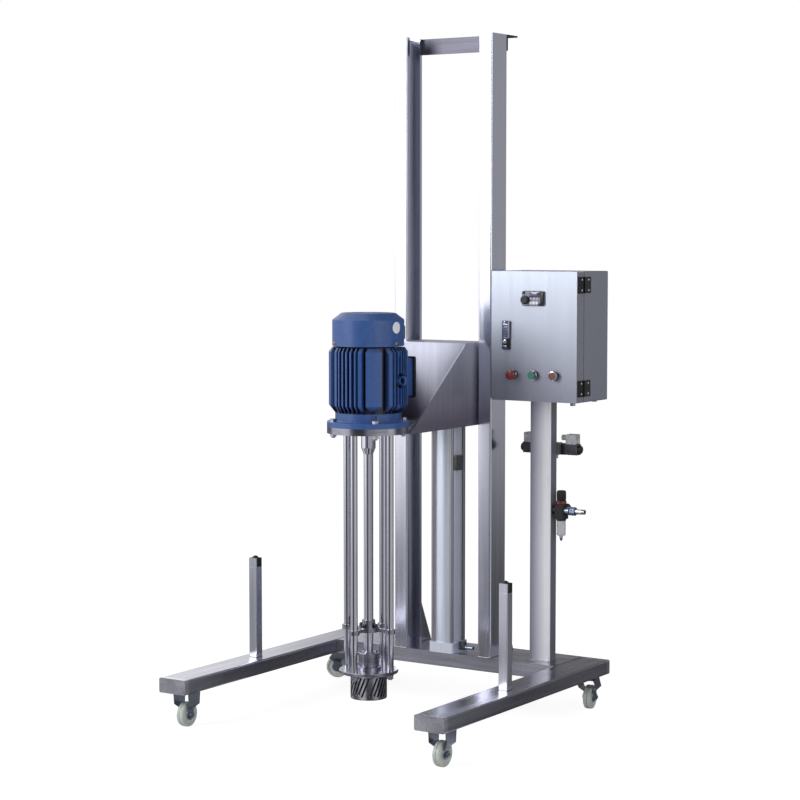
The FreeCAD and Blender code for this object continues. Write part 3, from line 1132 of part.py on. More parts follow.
def keypad():
    """Operator panel of the speed drive: frame, sunken display and two rows of keys."""
    x0 = CABINET_LEFT + KEYPAD_LEFT
    z0 = CABINET_BOTTOM + KEYPAD_BOTTOM
    y0 = CABINET_FRONT - KEYPAD_THICKNESS
    panel = rounded(box(x0, x0 + KEYPAD_WIDTH, y0, CABINET_FRONT, z0, z0 + KEYPAD_HEIGHT), 3.0, Y_AXIS)
    display = box(x0 + 6, x0 + KEYPAD_WIDTH - 18, y0, y0 + 1, z0 + 26, z0 + KEYPAD_HEIGHT - 5)
    shape = panel.cut(display)
    keys = []
    for row in range(2):
        for index in range(3):
            x = x0 + 30 + 12.0 * index
            z = z0 + 8 + 13.0 * row
            keys.append(rod(3.6, V(x, y0 - 1.2, z), Y_AXIS, 1.2))
    knob_x = x0 + KNOB_INSET
    knob_z = z0 + KEYPAD_HEIGHT / 2 - 5
    socket = rod(3.05, V(knob_x, y0, knob_z), Y_AXIS, KEYPAD_THICKNESS)
    return [fused([shape] + keys).cut(socket)], knob_x, knob_z


def speed_knob(x, z):
    """Ribbed speed knob on its spindle."""
    y1 = CABINET_FRONT - KEYPAD_THICKNESS - 0.4
    grip = rod(KNOB_RADIUS, V(x, y1 - 4, z), Y_AXIS, 4)
    top = Part.makeCone(KNOB_RADIUS - 4, KNOB_RADIUS - 2, KNOB_HEIGHT - 4, V(x, y1 - KNOB_HEIGHT, z), Y_AXIS)
    spindle = rod(3.0, V(x, y1 - 1, z), Y_AXIS, KEYPAD_THICKNESS)
    pointer = box(x - 0.8, x + 0.8, y1 - KNOB_HEIGHT - 0.6, y1 - KNOB_HEIGHT + 1, z, z + KNOB_RADIUS - 5)
    return fused([grip, top, spindle, pointer])


def push_button(x, z, face_radius, face_length, front_gap):
    """Push button: a face in front of the collar and a stem inside it."""
    collar_front = CABINET_FRONT - COLLAR_LENGTH
    face = rod(face_radius, V(x, collar_front - front_gap - face_length, z), Y_AXIS, face_length)
    face = face.makeFillet(min(1.2, face_length / 3), [face.Edges[0], face.Edges[2]])
    stem = rod(BUTTON_STEM_RADIUS, V(x, collar_front - front_gap - face_length / 2, z), Y_AXIS,
               face_length / 2 + front_gap + 14)
    return fused([face, stem])


def stop_mushroom(x, z):
    """Emergency stop mushroom with a domed cap and a long skirt."""
    front = CABINET_FRONT - 31.0
    skirt_end = CABINET_FRONT - COLLAR_LENGTH - 7.0
    points = [V(x, front, z), V(x + 8, front + 0.6, z), V(x + 13, front + 2.2, z), V(x + 16, front + 5, z),
              V(x + 16, front + 8, z), V(x + 13, front + 10, z), V(x + 13, skirt_end, z),
              V(x + BUTTON_STEM_RADIUS, skirt_end, z), V(x + BUTTON_STEM_RADIUS, CABINET_FRONT + 2, z),
              V(x, CABINET_FRONT + 2, z)]
    points.append(points[0])
    return Part.Face(Part.makePolygon(points)).revolve(V(x, 0, z), Y_AXIS, 360)


def mounting_panel():
    """Galvanised mounting panel on four stand-offs."""
    y0 = CABINET_REAR - CABINET_SHEET - 12
    x0 = CABINET_LEFT + 20
    x1 = CABINET_RIGHT - 20
    z0 = CABINET_BOTTOM + 20
    z1 = CABINET_TOP - 20
    pieces = [box(x0, x1, y0, y0 + 2, z0, z1)]
    for x in (x0 + 10, x1 - 10):
        for z in (z0 + 10, z1 - 10):
            pieces.append(rod(5.0, V(x, y0 + 2, z), Y_AXIS, 10))
    return fused(pieces), y0


def drive_unit(panel_y):
    """Speed drive: moulded case with a heat sink of vertical fins against the panel."""
    x0 = CABINET_LEFT + CABINET_WIDTH * 0.12
    z0 = CABINET_BOTTOM + DRIVE_RISE
    x1 = x0 + DRIVE_WIDTH
    z1 = z0 + DRIVE_HEIGHT
    sink = panel_y - SINK_DEPTH
    case = rounded(box(x0, x1, sink - DRIVE_DEPTH, sink, z0, z1), 4.0, Y_AXIS)
    base = box(x0, x1, sink, sink + SINK_DEPTH * 0.2, z0, z1)
    fins = []
    for index in range(9):
        fin = x0 + SINK_FIN_PITCH * (index + 0.2)
        fins.append(box(fin, fin + SINK_FIN_PITCH * 0.27, sink + SINK_DEPTH * 0.1, panel_y, z0, z1))
    return fused([case, base] + fins)


def switchgear(panel_y):
    """Rail with a breaker, a contactor and a row of terminals."""
    z = CABINET_BOTTOM + RAIL_RISE
    x0 = CABINET_LEFT + 32
    x1 = CABINET_RIGHT - 32
    depth = RAIL_WIDTH * 0.21
    front = panel_y - depth
    lip = RAIL_WIDTH / 2
    foot = RAIL_WIDTH * 0.36
    rail = fused([box(x0, x1, front, front + 1, z - lip, z + lip),
                  box(x0, x1, front, panel_y, z - foot, z + foot)])
    b0 = x0 + 6
    b1 = b0 + BREAKER_WIDTH
    high = BREAKER_HEIGHT / 2
    breaker = fused([box(b0, b1, front - high * 1.2, front, z - high, z + high),
                     box(b0, b1, front - high * 1.6, front - high * 1.2, z - high / 2, z + high / 2),
                     box(b0 + 14, b1 - 14, front - high * 1.8, front - high * 1.6, z - 4, z + 4)])
    c0 = b1 + 12
    c1 = c0 + CONTACTOR_WIDTH
    tall = CONTACTOR_HEIGHT / 2
    contactor = fused([box(c0, c1, front - tall * 2.4, front, z - tall, z + tall),
                       box(c0 + 8, c1 - 8, front - tall * 2.6, front - tall * 2.4, z - 12, z + 12)])
    t0 = c1 + 13
    terminals = []
    for index in range(12):
        left = t0 + TERMINAL_PITCH * index
        terminals.append(box(left, left + TERMINAL_PITCH - 1, front - 40, front, z - 25, z + 25))
    terminals.append(box(t0, t0 + TERMINAL_PITCH * 12 - 1, front - 6, front, z - 22, z + 22))
    return [rail, breaker, contactor, fused(terminals)]


# Pneumatic control

def solenoid_valve():
    """Double-solenoid valve behind the post: plate, body, pilot blocks, coils and nuts."""
    x = VALVE_CENTRE_X
    z = VALVE_CENTRE_Z
    y0 = POST_REAR
    body_y0 = y0 + VALVE_PLATE
    body_y1 = body_y0 + VALVE_BODY_DEPTH
    y_mid = (body_y0 + body_y1) / 2
    half = VALVE_BODY_LENGTH / 2
    z0 = z - VALVE_BODY_HEIGHT / 2
    plate = box(max(x - half, POST_LEFT + POST_CORNER), min(x + half, POST_RIGHT - POST_CORNER), y0,
                body_y0, z0, z0 + VALVE_BODY_HEIGHT)
    body = rounded(box(x - half, x + half, body_y0, body_y1, z0, z0 + VALVE_BODY_HEIGHT), 2.0, X_AXIS)
    pieces = [fused([plate, body])]
    coil_half = COIL_HEIGHT / 2
    for side in (-1, 1):
        pilot_in = x + side * half
        pilot_out = pilot_in + side * PILOT_LENGTH
        coil_out = pilot_out + side * COIL_LENGTH
        nut_out = coil_out + side * COIL_NUT_LENGTH
        pilot = box(min(pilot_in, pilot_out), max(pilot_in, pilot_out), body_y0 + 2, body_y1 - 2,
                    z0 + 2, z0 + VALVE_BODY_HEIGHT - 2)
        coil = rounded(box(min(pilot_out, coil_out), max(pilot_out, coil_out), y_mid - 14, y_mid + 14,
                           z - coil_half, z + coil_half), 3.0, X_AXIS)
        nut = rod(11.0, V(min(coil_out, nut_out), y_mid, z), X_AXIS, COIL_NUT_LENGTH)
        pieces.append(fused([pilot, coil, nut]))
    for offset in (-16, 0, 16):
        pieces.append(upright(6.5, x + offset, y_mid, z0 - 12, z0))
    return pieces


def valve_plugs():
    """Clear plug on each coil, with a cable gland pointing to the middle."""
    pieces = []
    y_mid = POST_REAR + VALVE_PLATE + VALVE_BODY_DEPTH / 2
    z0 = VALVE_CENTRE_Z + COIL_HEIGHT / 2
    for side in (-1, 1):
        coil_mid = VALVE_CENTRE_X + side * (VALVE_BODY_LENGTH / 2 + PILOT_LENGTH + COIL_LENGTH / 2)
        inner = coil_mid - side * PLUG_WIDTH / 2
        body = rounded(box(coil_mid - PLUG_WIDTH / 2, coil_mid + PLUG_WIDTH / 2, y_mid - PLUG_DEPTH / 2,
                           y_mid + PLUG_DEPTH / 2, z0, z0 + PLUG_HEIGHT), 3.0, Y_AXIS)
        gland_start = min(inner, inner - side * 18)
        gland = rod(9.0, V(gland_start, y_mid, z0 + PLUG_HEIGHT * 0.62), X_AXIS, 18)
        bore = rod(4.0, V(gland_start - 1, y_mid, z0 + PLUG_HEIGHT * 0.62), X_AXIS, 20)
        pieces.append(fused([body, gland]).cut(bore))
    return pieces


REGULATOR_X = POST_RIGHT + REGULATOR_OUTSET
REGULATOR_Y = (POST_FRONT + POST_REAR) / 2
REGULATOR_BOTTOM = REGULATOR_CENTRE_Z - REGULATOR_HEIGHT / 2
REGULATOR_TOP = REGULATOR_CENTRE_Z + REGULATOR_HEIGHT / 2


def regulator_body():
    """Regulator body with its round bonnet and the nipple that holds it to the post."""
    half = REGULATOR_SIZE / 2
    block = rounded(box(REGULATOR_X - half, REGULATOR_X + half, REGULATOR_Y - half, REGULATOR_Y + half,
                        REGULATOR_BOTTOM, REGULATOR_TOP), 4.0, Z_AXIS)
    bonnet = turned([(0, REGULATOR_TOP), (half - 1, REGULATOR_TOP), (half - 1, REGULATOR_TOP + 8),
                     (half - 4, REGULATOR_TOP + REGULATOR_BONNET), (0, REGULATOR_TOP + REGULATOR_BONNET)],
                    REGULATOR_X, REGULATOR_Y)
    nipple = rod(13.0, V(POST_RIGHT, REGULATOR_Y, REGULATOR_CENTRE_Z + 3), X_AXIS, REGULATOR_OUTSET - half)
    gauge_z = REGULATOR_CENTRE_Z + GAUGE_RISE
    stem = rod(5.0, V(REGULATOR_X, REGULATOR_Y + half - 1, gauge_z), Y_AXIS, 9)
    dial = rod(GAUGE_RADIUS, V(REGULATOR_X, REGULATOR_Y + half + 6, gauge_z), Y_AXIS, GAUGE_LENGTH)
    body = fused([block, bonnet, nipple, stem, dial])
    return body.cut(upright(6.05, REGULATOR_X, REGULATOR_Y, REGULATOR_TOP,
                            REGULATOR_TOP + REGULATOR_BONNET))


def regulator_bowl():
    """Clear bowl under the regulator with its drain cone."""
    top = REGULATOR_BOTTOM
    low = top - BOWL_LENGTH
    return turned([(0, low - 16), (3, low - 16), (4, low - 6), (6, low - 6), (6, low), (BOWL_RADIUS - 3, low),
                   (BOWL_RADIUS, low + 4), (BOWL_RADIUS, top), (BOWL_RADIUS - BOWL_WALL, top),
                   (BOWL_RADIUS - BOWL_WALL, low + 6), (BOWL_RADIUS - 5, low + 3), (0, low + 3)],
                  REGULATOR_X, REGULATOR_Y)


def regulator_knob():
    """Ribbed pressure knob above the bonnet."""
    z0 = REGULATOR_TOP + REGULATOR_BONNET + 0.4
    z1 = z0 + REGULATOR_KNOB_HEIGHT
    radius = REGULATOR_KNOB_RADIUS
    body = turned([(0, z0), (radius, z0), (radius, z1 - 4), (radius - 3, z1), (0, z1)],
                  REGULATOR_X, REGULATOR_Y)
    spindle = upright(6.0, REGULATOR_X, REGULATOR_Y, z0 - REGULATOR_BONNET, z0 + 2)
    return fused([body, spindle])


def pipe_fittings():
    """Supply coupler, cylinder port fittings with a silencer, and the cabinet's cable gland."""
    half = REGULATOR_SIZE / 2
    z = REGULATOR_CENTRE_Z + 3
    x0 = REGULATOR_X + half
    coupler = fused([rod(13.0, V(x0, REGULATOR_Y, z), X_AXIS, 14),
                     rod(9.5, V(x0 + 14, REGULATOR_Y, z), X_AXIS, 24),
                     rod(6.0, V(x0 + 38, REGULATOR_Y, z), X_AXIS, 16),
                     rod(7.5, V(x0 + 54, REGULATOR_Y, z), X_AXIS, 12)])
    coupler = coupler.cut(rod(4.0, V(x0 + 20, REGULATOR_Y, z), X_AXIS, 60))
    side = CAP_SIZE / 2
    port_z = BASE_TOP + CAP_HEIGHT / 2
    port = fused([rod(8.0, V(side, CYLINDER_Y, port_z), X_AXIS, 16),
                  upright(8.0, side + 12, CYLINDER_Y, port_z, port_z + 18)])
    silencer = rod(6.0, V(side + 20, CYLINDER_Y, port_z), X_AXIS, 30)
    top_port = rod(8.0, V(0, CYLINDER_Y - side - 16, BARREL_TOP + CAP_HEIGHT / 2), Y_AXIS, 16)
    gland_x = CABINET_RIGHT - GLAND_INSET_X
    gland_y = CABINET_REAR - GLAND_INSET_Y
    gland = fused([hexagon(19.0, gland_x, gland_y, CABINET_BOTTOM - 6, CABINET_BOTTOM),
                   upright(8.0, gland_x, gland_y, CABINET_BOTTOM - 16, CABINET_BOTTOM - 6)])
    gland = gland.cut(upright(4.0, gland_x, gland_y, CABINET_BOTTOM - 16, CABINET_BOTTOM - 2))
    plug = hexagon(14.0, CABINET_RIGHT - 20, CABINET_REAR - 45, CABINET_BOTTOM - 5, CABINET_BOTTOM)
    return [coupler, port, silencer.cut(port), top_port, gland, plug]


def main():
    """Build every sub-part and write it to its own file."""
    os.makedirs("parts", exist_ok=True)
    write("left_leg", leg(-1))
    write("right_leg", leg(1))
    write("cross_beam", [cross_beam()])
    write("left_column", [column(-1)])
    write("right_column", [column(1)])
    write("top_tie_angle", [top_tie()])
    write("column_braces", column_braces())
    left_post, left_insert = tank_post(-1)
    right_post, right_insert = tank_post(1)
    write("tank_posts", [left_post, right_post])
    write("post_inserts", [left_insert, right_insert])

    left_fixed, left_front_wheel = fixed_caster(-1)
    right_fixed, right_front_wheel = fixed_caster(1)
    write("front_caster_forks", left_fixed + right_fixed)
    write("front_left_wheel", [left_front_wheel])
    write("front_right_wheel", [right_front_wheel])
    plates = []
    for name, side, turn in (("left", -1, LEFT_SWIVEL_DEG), ("right", 1, RIGHT_SWIVEL_DEG)):
        fixed, moving, rolling = swivel_caster(side, turn)
        plates.append(fixed)
        write("rear_" + name + "_fork", moving)
        write("rear_" + name + "_wheel", [rolling])
    write("rear_caster_plates", plates)

    write("cylinder_end_caps", [cylinder_cap(BASE_TOP, False), cylinder_cap(BARREL_TOP, True)])
    barrel_radius = CYLINDER_BORE / 2 + BARREL_WALL
    write("cylinder_barrel", [upright_ring(barrel_radius, CYLINDER_BORE / 2, 0, CYLINDER_Y,
                                           BARREL_BOTTOM, BARREL_TOP)])
    write("cylinder_tie_rods", cylinder_tie_rods() + [position_sensor()])
    write("piston_rod", [piston_rod()])

    write("lift_bracket", [lift_bracket()])
    write("guide_shoes", guide_shoes())
    write("head_plate", [head_plate()])
    write("support_rods", support_rods())
    write("head_fasteners", head_fasteners())
    write("steady_bearing", steady_bearing())
    write("bearing_housing", bearing_housing())
    write("bottom_plate", [bottom_plate()])
    write("stator", [stator()])
    write("rotor_head", [rotor_head()])
    write("mixer_shaft", [mixer_shaft()])

    write("motor_frame", [motor_frame()])
    write("motor_flange", [motor_flange()])
    write("motor_rotor", [motor_rotor()])
    write("cooling_fan", [cooling_fan()])
    write("fan_cowl", fan_cowl())
    terminal_body, terminal_lid = terminal_box()
    write("terminal_box", terminal_body)
    write("terminal_lid", terminal_lid)
    write("lifting_eye", [lifting_eye()])

    write("box_post", [box_post()])
    write("cabinet_body", [cabinet_body()])
    write("cabinet_door", [cabinet_door()])
    write("hinge_fixed_leaves", [hinge_fixed(z0) for z0 in hinge_heights()])
    collars = [button_collar(x, z) for x, z in button_places()]
    write("door_fittings", [hinge_moving(z0) for z0 in hinge_heights()] + collars + [lock_bezel()])
    write("lock_handle", [lock_handle()])
    panel, knob_x, knob_z = keypad()
    write("keypad_panel", panel)
    write("speed_knob", [speed_knob(knob_x, knob_z)])
    (stop_x, row_z), (start_x, _), (halt_x, _) = button_places()
    write("stop_mushroom", [stop_mushroom(stop_x, row_z)])
    write("start_button", [push_button(start_x, row_z, 12.5, 5.0, 5.0)])
    write("halt_button", [push_button(halt_x, row_z, 10.5, 4.0, 5.0)])
    back_panel, panel_y = mounting_panel()
    write("mounting_panel", [back_panel])
    write("drive_unit", [drive_unit(panel_y)])
    write("switchgear", switchgear(panel_y))

    write("solenoid_valve", solenoid_valve())
    write("valve_plugs", valve_plugs())
    write("regulator_body", [regulator_body()])
    write("regulator_bowl", [regulator_bowl()])
    write("regulator_knob", [regulator_knob()])
    write("pipe_fittings", pipe_fittings())


main()
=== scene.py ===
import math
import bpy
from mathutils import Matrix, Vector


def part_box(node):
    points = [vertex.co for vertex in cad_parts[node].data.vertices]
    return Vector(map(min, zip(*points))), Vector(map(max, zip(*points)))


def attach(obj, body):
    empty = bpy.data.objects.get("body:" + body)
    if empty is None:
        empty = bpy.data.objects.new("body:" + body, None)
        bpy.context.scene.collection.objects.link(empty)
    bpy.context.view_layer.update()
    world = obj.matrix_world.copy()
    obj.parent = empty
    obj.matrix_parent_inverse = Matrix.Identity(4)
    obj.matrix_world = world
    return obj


bl_info = {
    "name": "High Shear Mixer",
    "version": (1, 0, 0),
    "blender": (4, 5, 0),
    "location": "3D View > Sidebar > Mixer",
    "description": "Finishes and fine parts of a high shear mixer on a pneumatic lift column",
    "category": "Object",
}

import bpy
import numpy as np
from bpy.props import FloatProperty, FloatVectorProperty, IntProperty, PointerProperty
from mathutils import Euler

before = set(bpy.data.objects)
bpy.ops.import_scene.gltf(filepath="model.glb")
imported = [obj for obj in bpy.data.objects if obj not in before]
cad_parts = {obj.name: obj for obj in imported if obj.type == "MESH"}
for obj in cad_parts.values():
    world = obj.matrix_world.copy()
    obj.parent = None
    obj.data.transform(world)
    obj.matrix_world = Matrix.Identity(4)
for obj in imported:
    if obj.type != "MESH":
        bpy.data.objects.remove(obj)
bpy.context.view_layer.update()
MM = 0.001

# Places of the solids in mm, to which the fine parts are fitted
BASE_TOP = 156.0
LEG_X = 458.0
LEG_END_Y = 489.0
BEAM_FRONT_Y = 307.0
MOTOR_Y = -112.0
SLEEVE_RADIUS = 55.5
COWL_RADIUS = 108.5
LABEL_DEG = -5.0
CABINET_X, CABINET_Z = 350.0, 1179.0
BUTTON_Y, BUTTON_Z = 266.0, 1060.5
KEY_Y = 272.4
VALVE_X, VALVE_Y, VALVE_Z = 338.0, 416.0, 823.0
REGULATOR = (395.0, 377.0, 0.0)
COUPLER = (0.0, 377.0, 634.0)
GAUGE = (395.0, 416.0, 639.0)


# Colour and node helpers

def linear(code):
    """sRGB hex code to linear RGBA. A colour from the panel is linear already."""
    if not isinstance(code, str):
        return (*code, 1.0)
    values = []
    for start in (0, 2, 4):
        c = int(code[start:start + 2], 16) / 255.0
        values.append(c / 12.92 if c <= 0.04045 else ((c + 0.055) / 1.055) ** 2.4)
    return (values[0], values[1], values[2], 1.0)


def add(tree, kind, inputs=None, links=None, **settings):
    """One node with its settings, its input values and the sockets that feed it."""
    made = tree.nodes.new(kind)
    for name, value in settings.items():
        setattr(made, name, value)
    for name, value in (inputs or {}).items():
        made.inputs[name].default_value = value
    for name, source in (links or {}).items():
        tree.links.new(source, made.inputs[name])
    return made


MATERIALS = {}


def new_surface(name, **values):
    """Empty material with one Principled shader, its output and Object coordinates."""
    mat = bpy.data.materials.new(name)
    mat.use_nodes = True
    tree = mat.node_tree
    tree.nodes.clear()
    shader = add(tree, "ShaderNodeBsdfPrincipled", values)
    add(tree, "ShaderNodeOutputMaterial", links={"Surface": shader.outputs["BSDF"]})
    MATERIALS[name] = mat
    return tree, shader, add(tree, "ShaderNodeTexCoord").outputs["Object"]


# Places of a Mix node's sockets: its factor, both numbers and their result, and the same for colours
FACTOR, LOW, HIGH, NUMBER = 0, 2, 3, 0
FIRST, SECOND, MIXED = 6, 7, 2

# Weights that pick a distance out of a place: along one axis, or from an upright line
ALONG_X = (1.0, 0.0, 0.0)
ALONG_Y = (0.0, 1.0, 0.0)
ALONG_Z = (0.0, 0.0, 1.0)
LEVEL = (1.0, 1.0, 0.0)
MIDDLE = (0.0, 0.0, 0.0)
MIXER_LINE = (0.0, MOTOR_Y, 0.0)


def dress(tree, shader, place, tones, share, fades, gloss, limits, height, depth_mm, strength):
    """Feed a shader: its two tones mixed by share, its roughness between its limits by gloss, and a
    bump of depth_mm by height. Each fade is (centre mm, weights, start mm, end mm, dark, light): its
    own two tones hold where the length of (place - centre) * weights is under start, and the colour
    comes through by end."""
    dark, light = tones
    colour = add(tree, "ShaderNodeMix", {FIRST: linear(dark), SECOND: linear(light)}, {FACTOR: share},
                 data_type="RGBA").outputs[MIXED]
    for centre, weights, start, end, dark, light in fades:
        moved = add(tree, "ShaderNodeVectorMath", {1: [-part * MM for part in centre]}, {0: place})
        flat = add(tree, "ShaderNodeVectorMath", {1: weights}, {0: moved.outputs["Vector"]},
                   operation="MULTIPLY")
        away = add(tree, "ShaderNodeVectorMath", links={0: flat.outputs["Vector"]}, operation="LENGTH")
        through = add(tree, "ShaderNodeMapRange", {"From Min": start * MM, "From Max": end * MM},
                      {"Value": away.outputs["Value"]})
        laid = add(tree, "ShaderNodeMix", {FIRST: linear(dark), SECOND: linear(light)}, {FACTOR: share},
                   data_type="RGBA")
        colour = add(tree, "ShaderNodeMix", links={FACTOR: through.outputs["Result"],
                                                   FIRST: laid.outputs[MIXED], SECOND: colour},
                     data_type="RGBA").outputs[MIXED]
    tree.links.new(colour, shader.inputs["Base Color"])
    rough = add(tree, "ShaderNodeMapRange", {"From Min": 0.3, "From Max": 0.7, "To Min": limits[0],
                                             "To Max": limits[1]}, {"Value": gloss})
    tree.links.new(rough.outputs["Result"], shader.inputs["Roughness"])
    bumps = add(tree, "ShaderNodeBump", {"Distance": depth_mm * MM, "Strength": strength},
                {"Height": height})
    tree.links.new(bumps.outputs["Normal"], shader.inputs["Normal"])


def brushed_metal(name, dark, light, rough, grain_mm, depth_mm=0.01, cloud=6.0, spread=0.04, fades=(),
                  metallic=1.0):
    """Metal sheet, tube or bar with its grain one way: stretched cells of grain_mm vary its height,
    and soft clouds of tone and gloss, cloud times as large, come from rolling and wiping. Real
    brushing lines lie about 0.2 mm apart, too fine to show, so they are drawn 2.4 to 6 mm apart."""
    tree, shader, place = new_surface(name, Metallic=metallic)
    layers = []
    for sizes, detail in ((grain_mm, 4.0), ([min(size * cloud, 520.0) for size in grain_mm], 2.0)):
        scaled = add(tree, "ShaderNodeMapping", {"Scale": [1000.0 / size for size in sizes]},
                     {"Vector": place})
        layers.append(add(tree, "ShaderNodeTexNoise", {"Scale": 1.0, "Detail": detail, "Roughness": 0.58},
                          {"Vector": scaled.outputs["Vector"]}).outputs["Fac"])
    grain, broad = layers
    both = add(tree, "ShaderNodeMath", links={0: grain, 1: broad}, operation="ADD")
    share = add(tree, "ShaderNodeMapRange", {"From Min": 0.7, "From Max": 1.3},
                {"Value": both.outputs["Value"]}).outputs["Result"]
    dress(tree, shader, place, (dark, light), share, fades, broad, (rough - spread, rough + spread), grain,
          depth_mm, 0.25)


def moulded_plastic(name, dark, light, rough, texture_mm=0.8, depth_mm=0.03, coat=0.0, clear=0.0,
                    fades=()):
    """Moulded plastic, rubber or paint: fine cells of texture_mm vary its gloss and height, over slow
    changes of tone 14 mm long. Real spark grain is about 0.2 mm, too fine to show, so it is drawn at
    0.8 mm or more. Clear is the share of light that goes through."""
    tree, shader, place = new_surface(name, Metallic=0.0, IOR=1.58 if clear else 1.5)
    shader.inputs["Coat Weight"].default_value = coat
    shader.inputs["Coat Roughness"].default_value = 0.12
    shader.inputs["Transmission Weight"].default_value = clear
    fine, slow = [add(tree, "ShaderNodeTexNoise", {"Scale": 1000.0 / size, "Detail": 2.0},
                      {"Vector": place}).outputs["Fac"] for size in (texture_mm, 14.0)]
    share = add(tree, "ShaderNodeMapRange", {"From Min": 0.3, "From Max": 0.7},
                {"Value": slow}).outputs["Result"]
    dress(tree, shader, place, (dark, light), share, fades, fine, (rough - 0.05, rough + 0.08), fine,
          depth_mm, 0.5)


def deeper(colour, share=0.82):
    """A darker tone of a colour from the panel."""
    return [share * part for part in colour]


def make_metals():
    """Every bare, plated or anodised metal of the machine."""
    # Polished 304 channel and box tube: near-mirror, with faint upright polishing lines.
    brushed_metal("polished_304_upright", "CCCEDD", "D8DAE8", 0.18, (3.0, 3.0, 300.0))
    # Brushed 304 tube along the legs: soft streaks, and a ground, duller band at the end welds.
    brushed_metal("brushed_304_leg", "BCBCC9", "D2D2DE", 0.26, (5.0, 200.0, 5.0), 0.012, 9.0, 0.07,
                  fades=[(MIDDLE, ALONG_Y, 468.0, 480.0, "8F8F9D", "B2B2C0")])
    # Brushed 304 tube of the cross beam, with streaks from side to side: a greyer, softer shine.
    brushed_metal("brushed_304_cross", "A4A4B3", "C4C4D2", 0.28, (200.0, 5.0, 5.0), 0.012, 9.0, 0.06)
    # Mill-finish 304 angle across the top: dull, with hardly a reflection.
    brushed_metal("mill_304_angle", "55555F", "64646F", 0.46, (240.0, 6.0, 6.0), 0.01, 9.0)
    # Brushed 304 plate with upright grain: a blurred shine drawn out level.
    brushed_metal("brushed_304_sheet", "ACADBC", "BFC0CE", 0.26, (3.0, 3.0, 280.0), 0.01, 8.0)
    # Brushed 304 sheet of the carriage: satin, with painted shade that darkens it toward its foot.
    brushed_metal("brushed_304_carriage", "B9BBCD", "C8CADA", 0.36, (3.0, 3.0, 280.0), 0.01, 8.0,
                  metallic=0.55, fades=[(MIDDLE, ALONG_Z, 915.0, 1130.0, "6C6878", "757182")])
    # Brushed 304 sheet of the cabinet: blue-grey, even and satin.
    brushed_metal("cabinet_304_sheet", "B2B5C6", "BABDCD", 0.36, (2.5, 2.5, 300.0), 0.006)
    # The same sheet on the door, with its film still on: chalky.
    # Painted shade darkens it toward the bottom, so it is paler toward the top, and darkens its right side
    # face.
    brushed_metal("cabinet_304_door", "C6CEDD", "CCD4E2", 0.46, (2.5, 2.5, 300.0), 0.006, metallic=0.45,
                  fades=[(MIDDLE, ALONG_Z, 985.0, 1370.0, "868898", "8C8E9E"),
                         (MIDDLE, ALONG_X, 499.8, 499.2, "8B8D9C", "9092A1")])
    # Film-covered 304 post under the cabinet: almost white, and palest along its right edge.
    # A painted reflection darkens its front toward the left, and painted shade darkens its right-hand side
    # face.
    brushed_metal("filmed_304_post", "F2F4FB", "F7F8FD", 0.30, (3.0, 3.0, 280.0), 0.004, 8.0, metallic=0.12,
                  fades=[(MIDDLE, ALONG_X, 300.0, 350.0, "8A8B9F", "8F90A4"),
                         (MIDDLE, ALONG_X, 367.6, 366.4, "666673", "6D6D79")])
    # TIG weld metal: dull ripples with a faint straw tint.
    brushed_metal("weld_304", "77736F", "979089", 0.38, (3.0, 3.0, 3.0), 0.05)
    # Chromed bezels and lock parts: mirror-bright.
    brushed_metal("chrome_plate", "D8D9DF", "E6E7EC", 0.12, (8.0, 8.0, 8.0))
    # Yellow-passivated screws on the cowl: a brassy satin shine.
    brushed_metal("yellow_zinc_screw", "A48458", "C6A476", 0.34, (4.0, 4.0, 4.0))
    # Nickel plate on the coupler: glossy with a blue cast.
    brushed_metal("nickel_plate", "5F6A86", "8A98B4", 0.26, (9.0, 9.0, 9.0))
    # Drawn and polished 304 bar of the rods and shaft: clean upright stripes of light and dark.
    brushed_metal("polished_304_bar", "CCCDDB", "D6D7E4", 0.11, (30.0, 30.0, 400.0), 0.002, spread=0.015)
    # Turned 304 plates and housings: grey, with fine turning marks that soften the shine.
    brushed_metal("turned_304", "92939F", "AAABB8", 0.24, (30.0, 30.0, 3.0), 0.01)
    # Ground 304 sleeve of the stator: its bars shine, and painted shade makes its slots near black inside.
    brushed_metal("ground_304", "A0A0AD", "C2C2CE", 0.22, (40.0, 40.0, 2.0), 0.01,
                  fades=[(MIXER_LINE, LEVEL, SLEEVE_RADIUS - 2.2, SLEEVE_RADIUS - 1.2, "141418",
                          "222228")])
    # Zinc-plated steel, pressed forks and screws: slightly bluish and uneven.
    brushed_metal("zinc_plated_steel", "8A93A5", "A9B1C0", 0.30, (14.0, 14.0, 14.0))
    # Bare drawn tie rods: dull and slightly warm.
    brushed_metal("dull_drawn_steel", "98979B", "ADACB0", 0.40, (3.0, 3.0, 120.0))
    # Clear anodised aluminium: satin and pale, with drawing lines on the tube.
    brushed_metal("anodised_aluminium", "DCE2F4", "E6ECFA", 0.34, (2.4, 2.4, 200.0), 0.01, metallic=0.5)
    # Galvanised sheet of the mounting panel: mottled grey spangle.
    brushed_metal("galvanised_sheet", "8E9092", "B4B6B8", 0.45, (9.0, 9.0, 9.0))
    # Machined steel of the rotors: plain, and dark as painted shade for the rotor seen through the stator's
    # slots.
    brushed_metal("machined_steel", "5E5E64", "7C7C82", 0.4, (3.0, 3.0, 30.0))


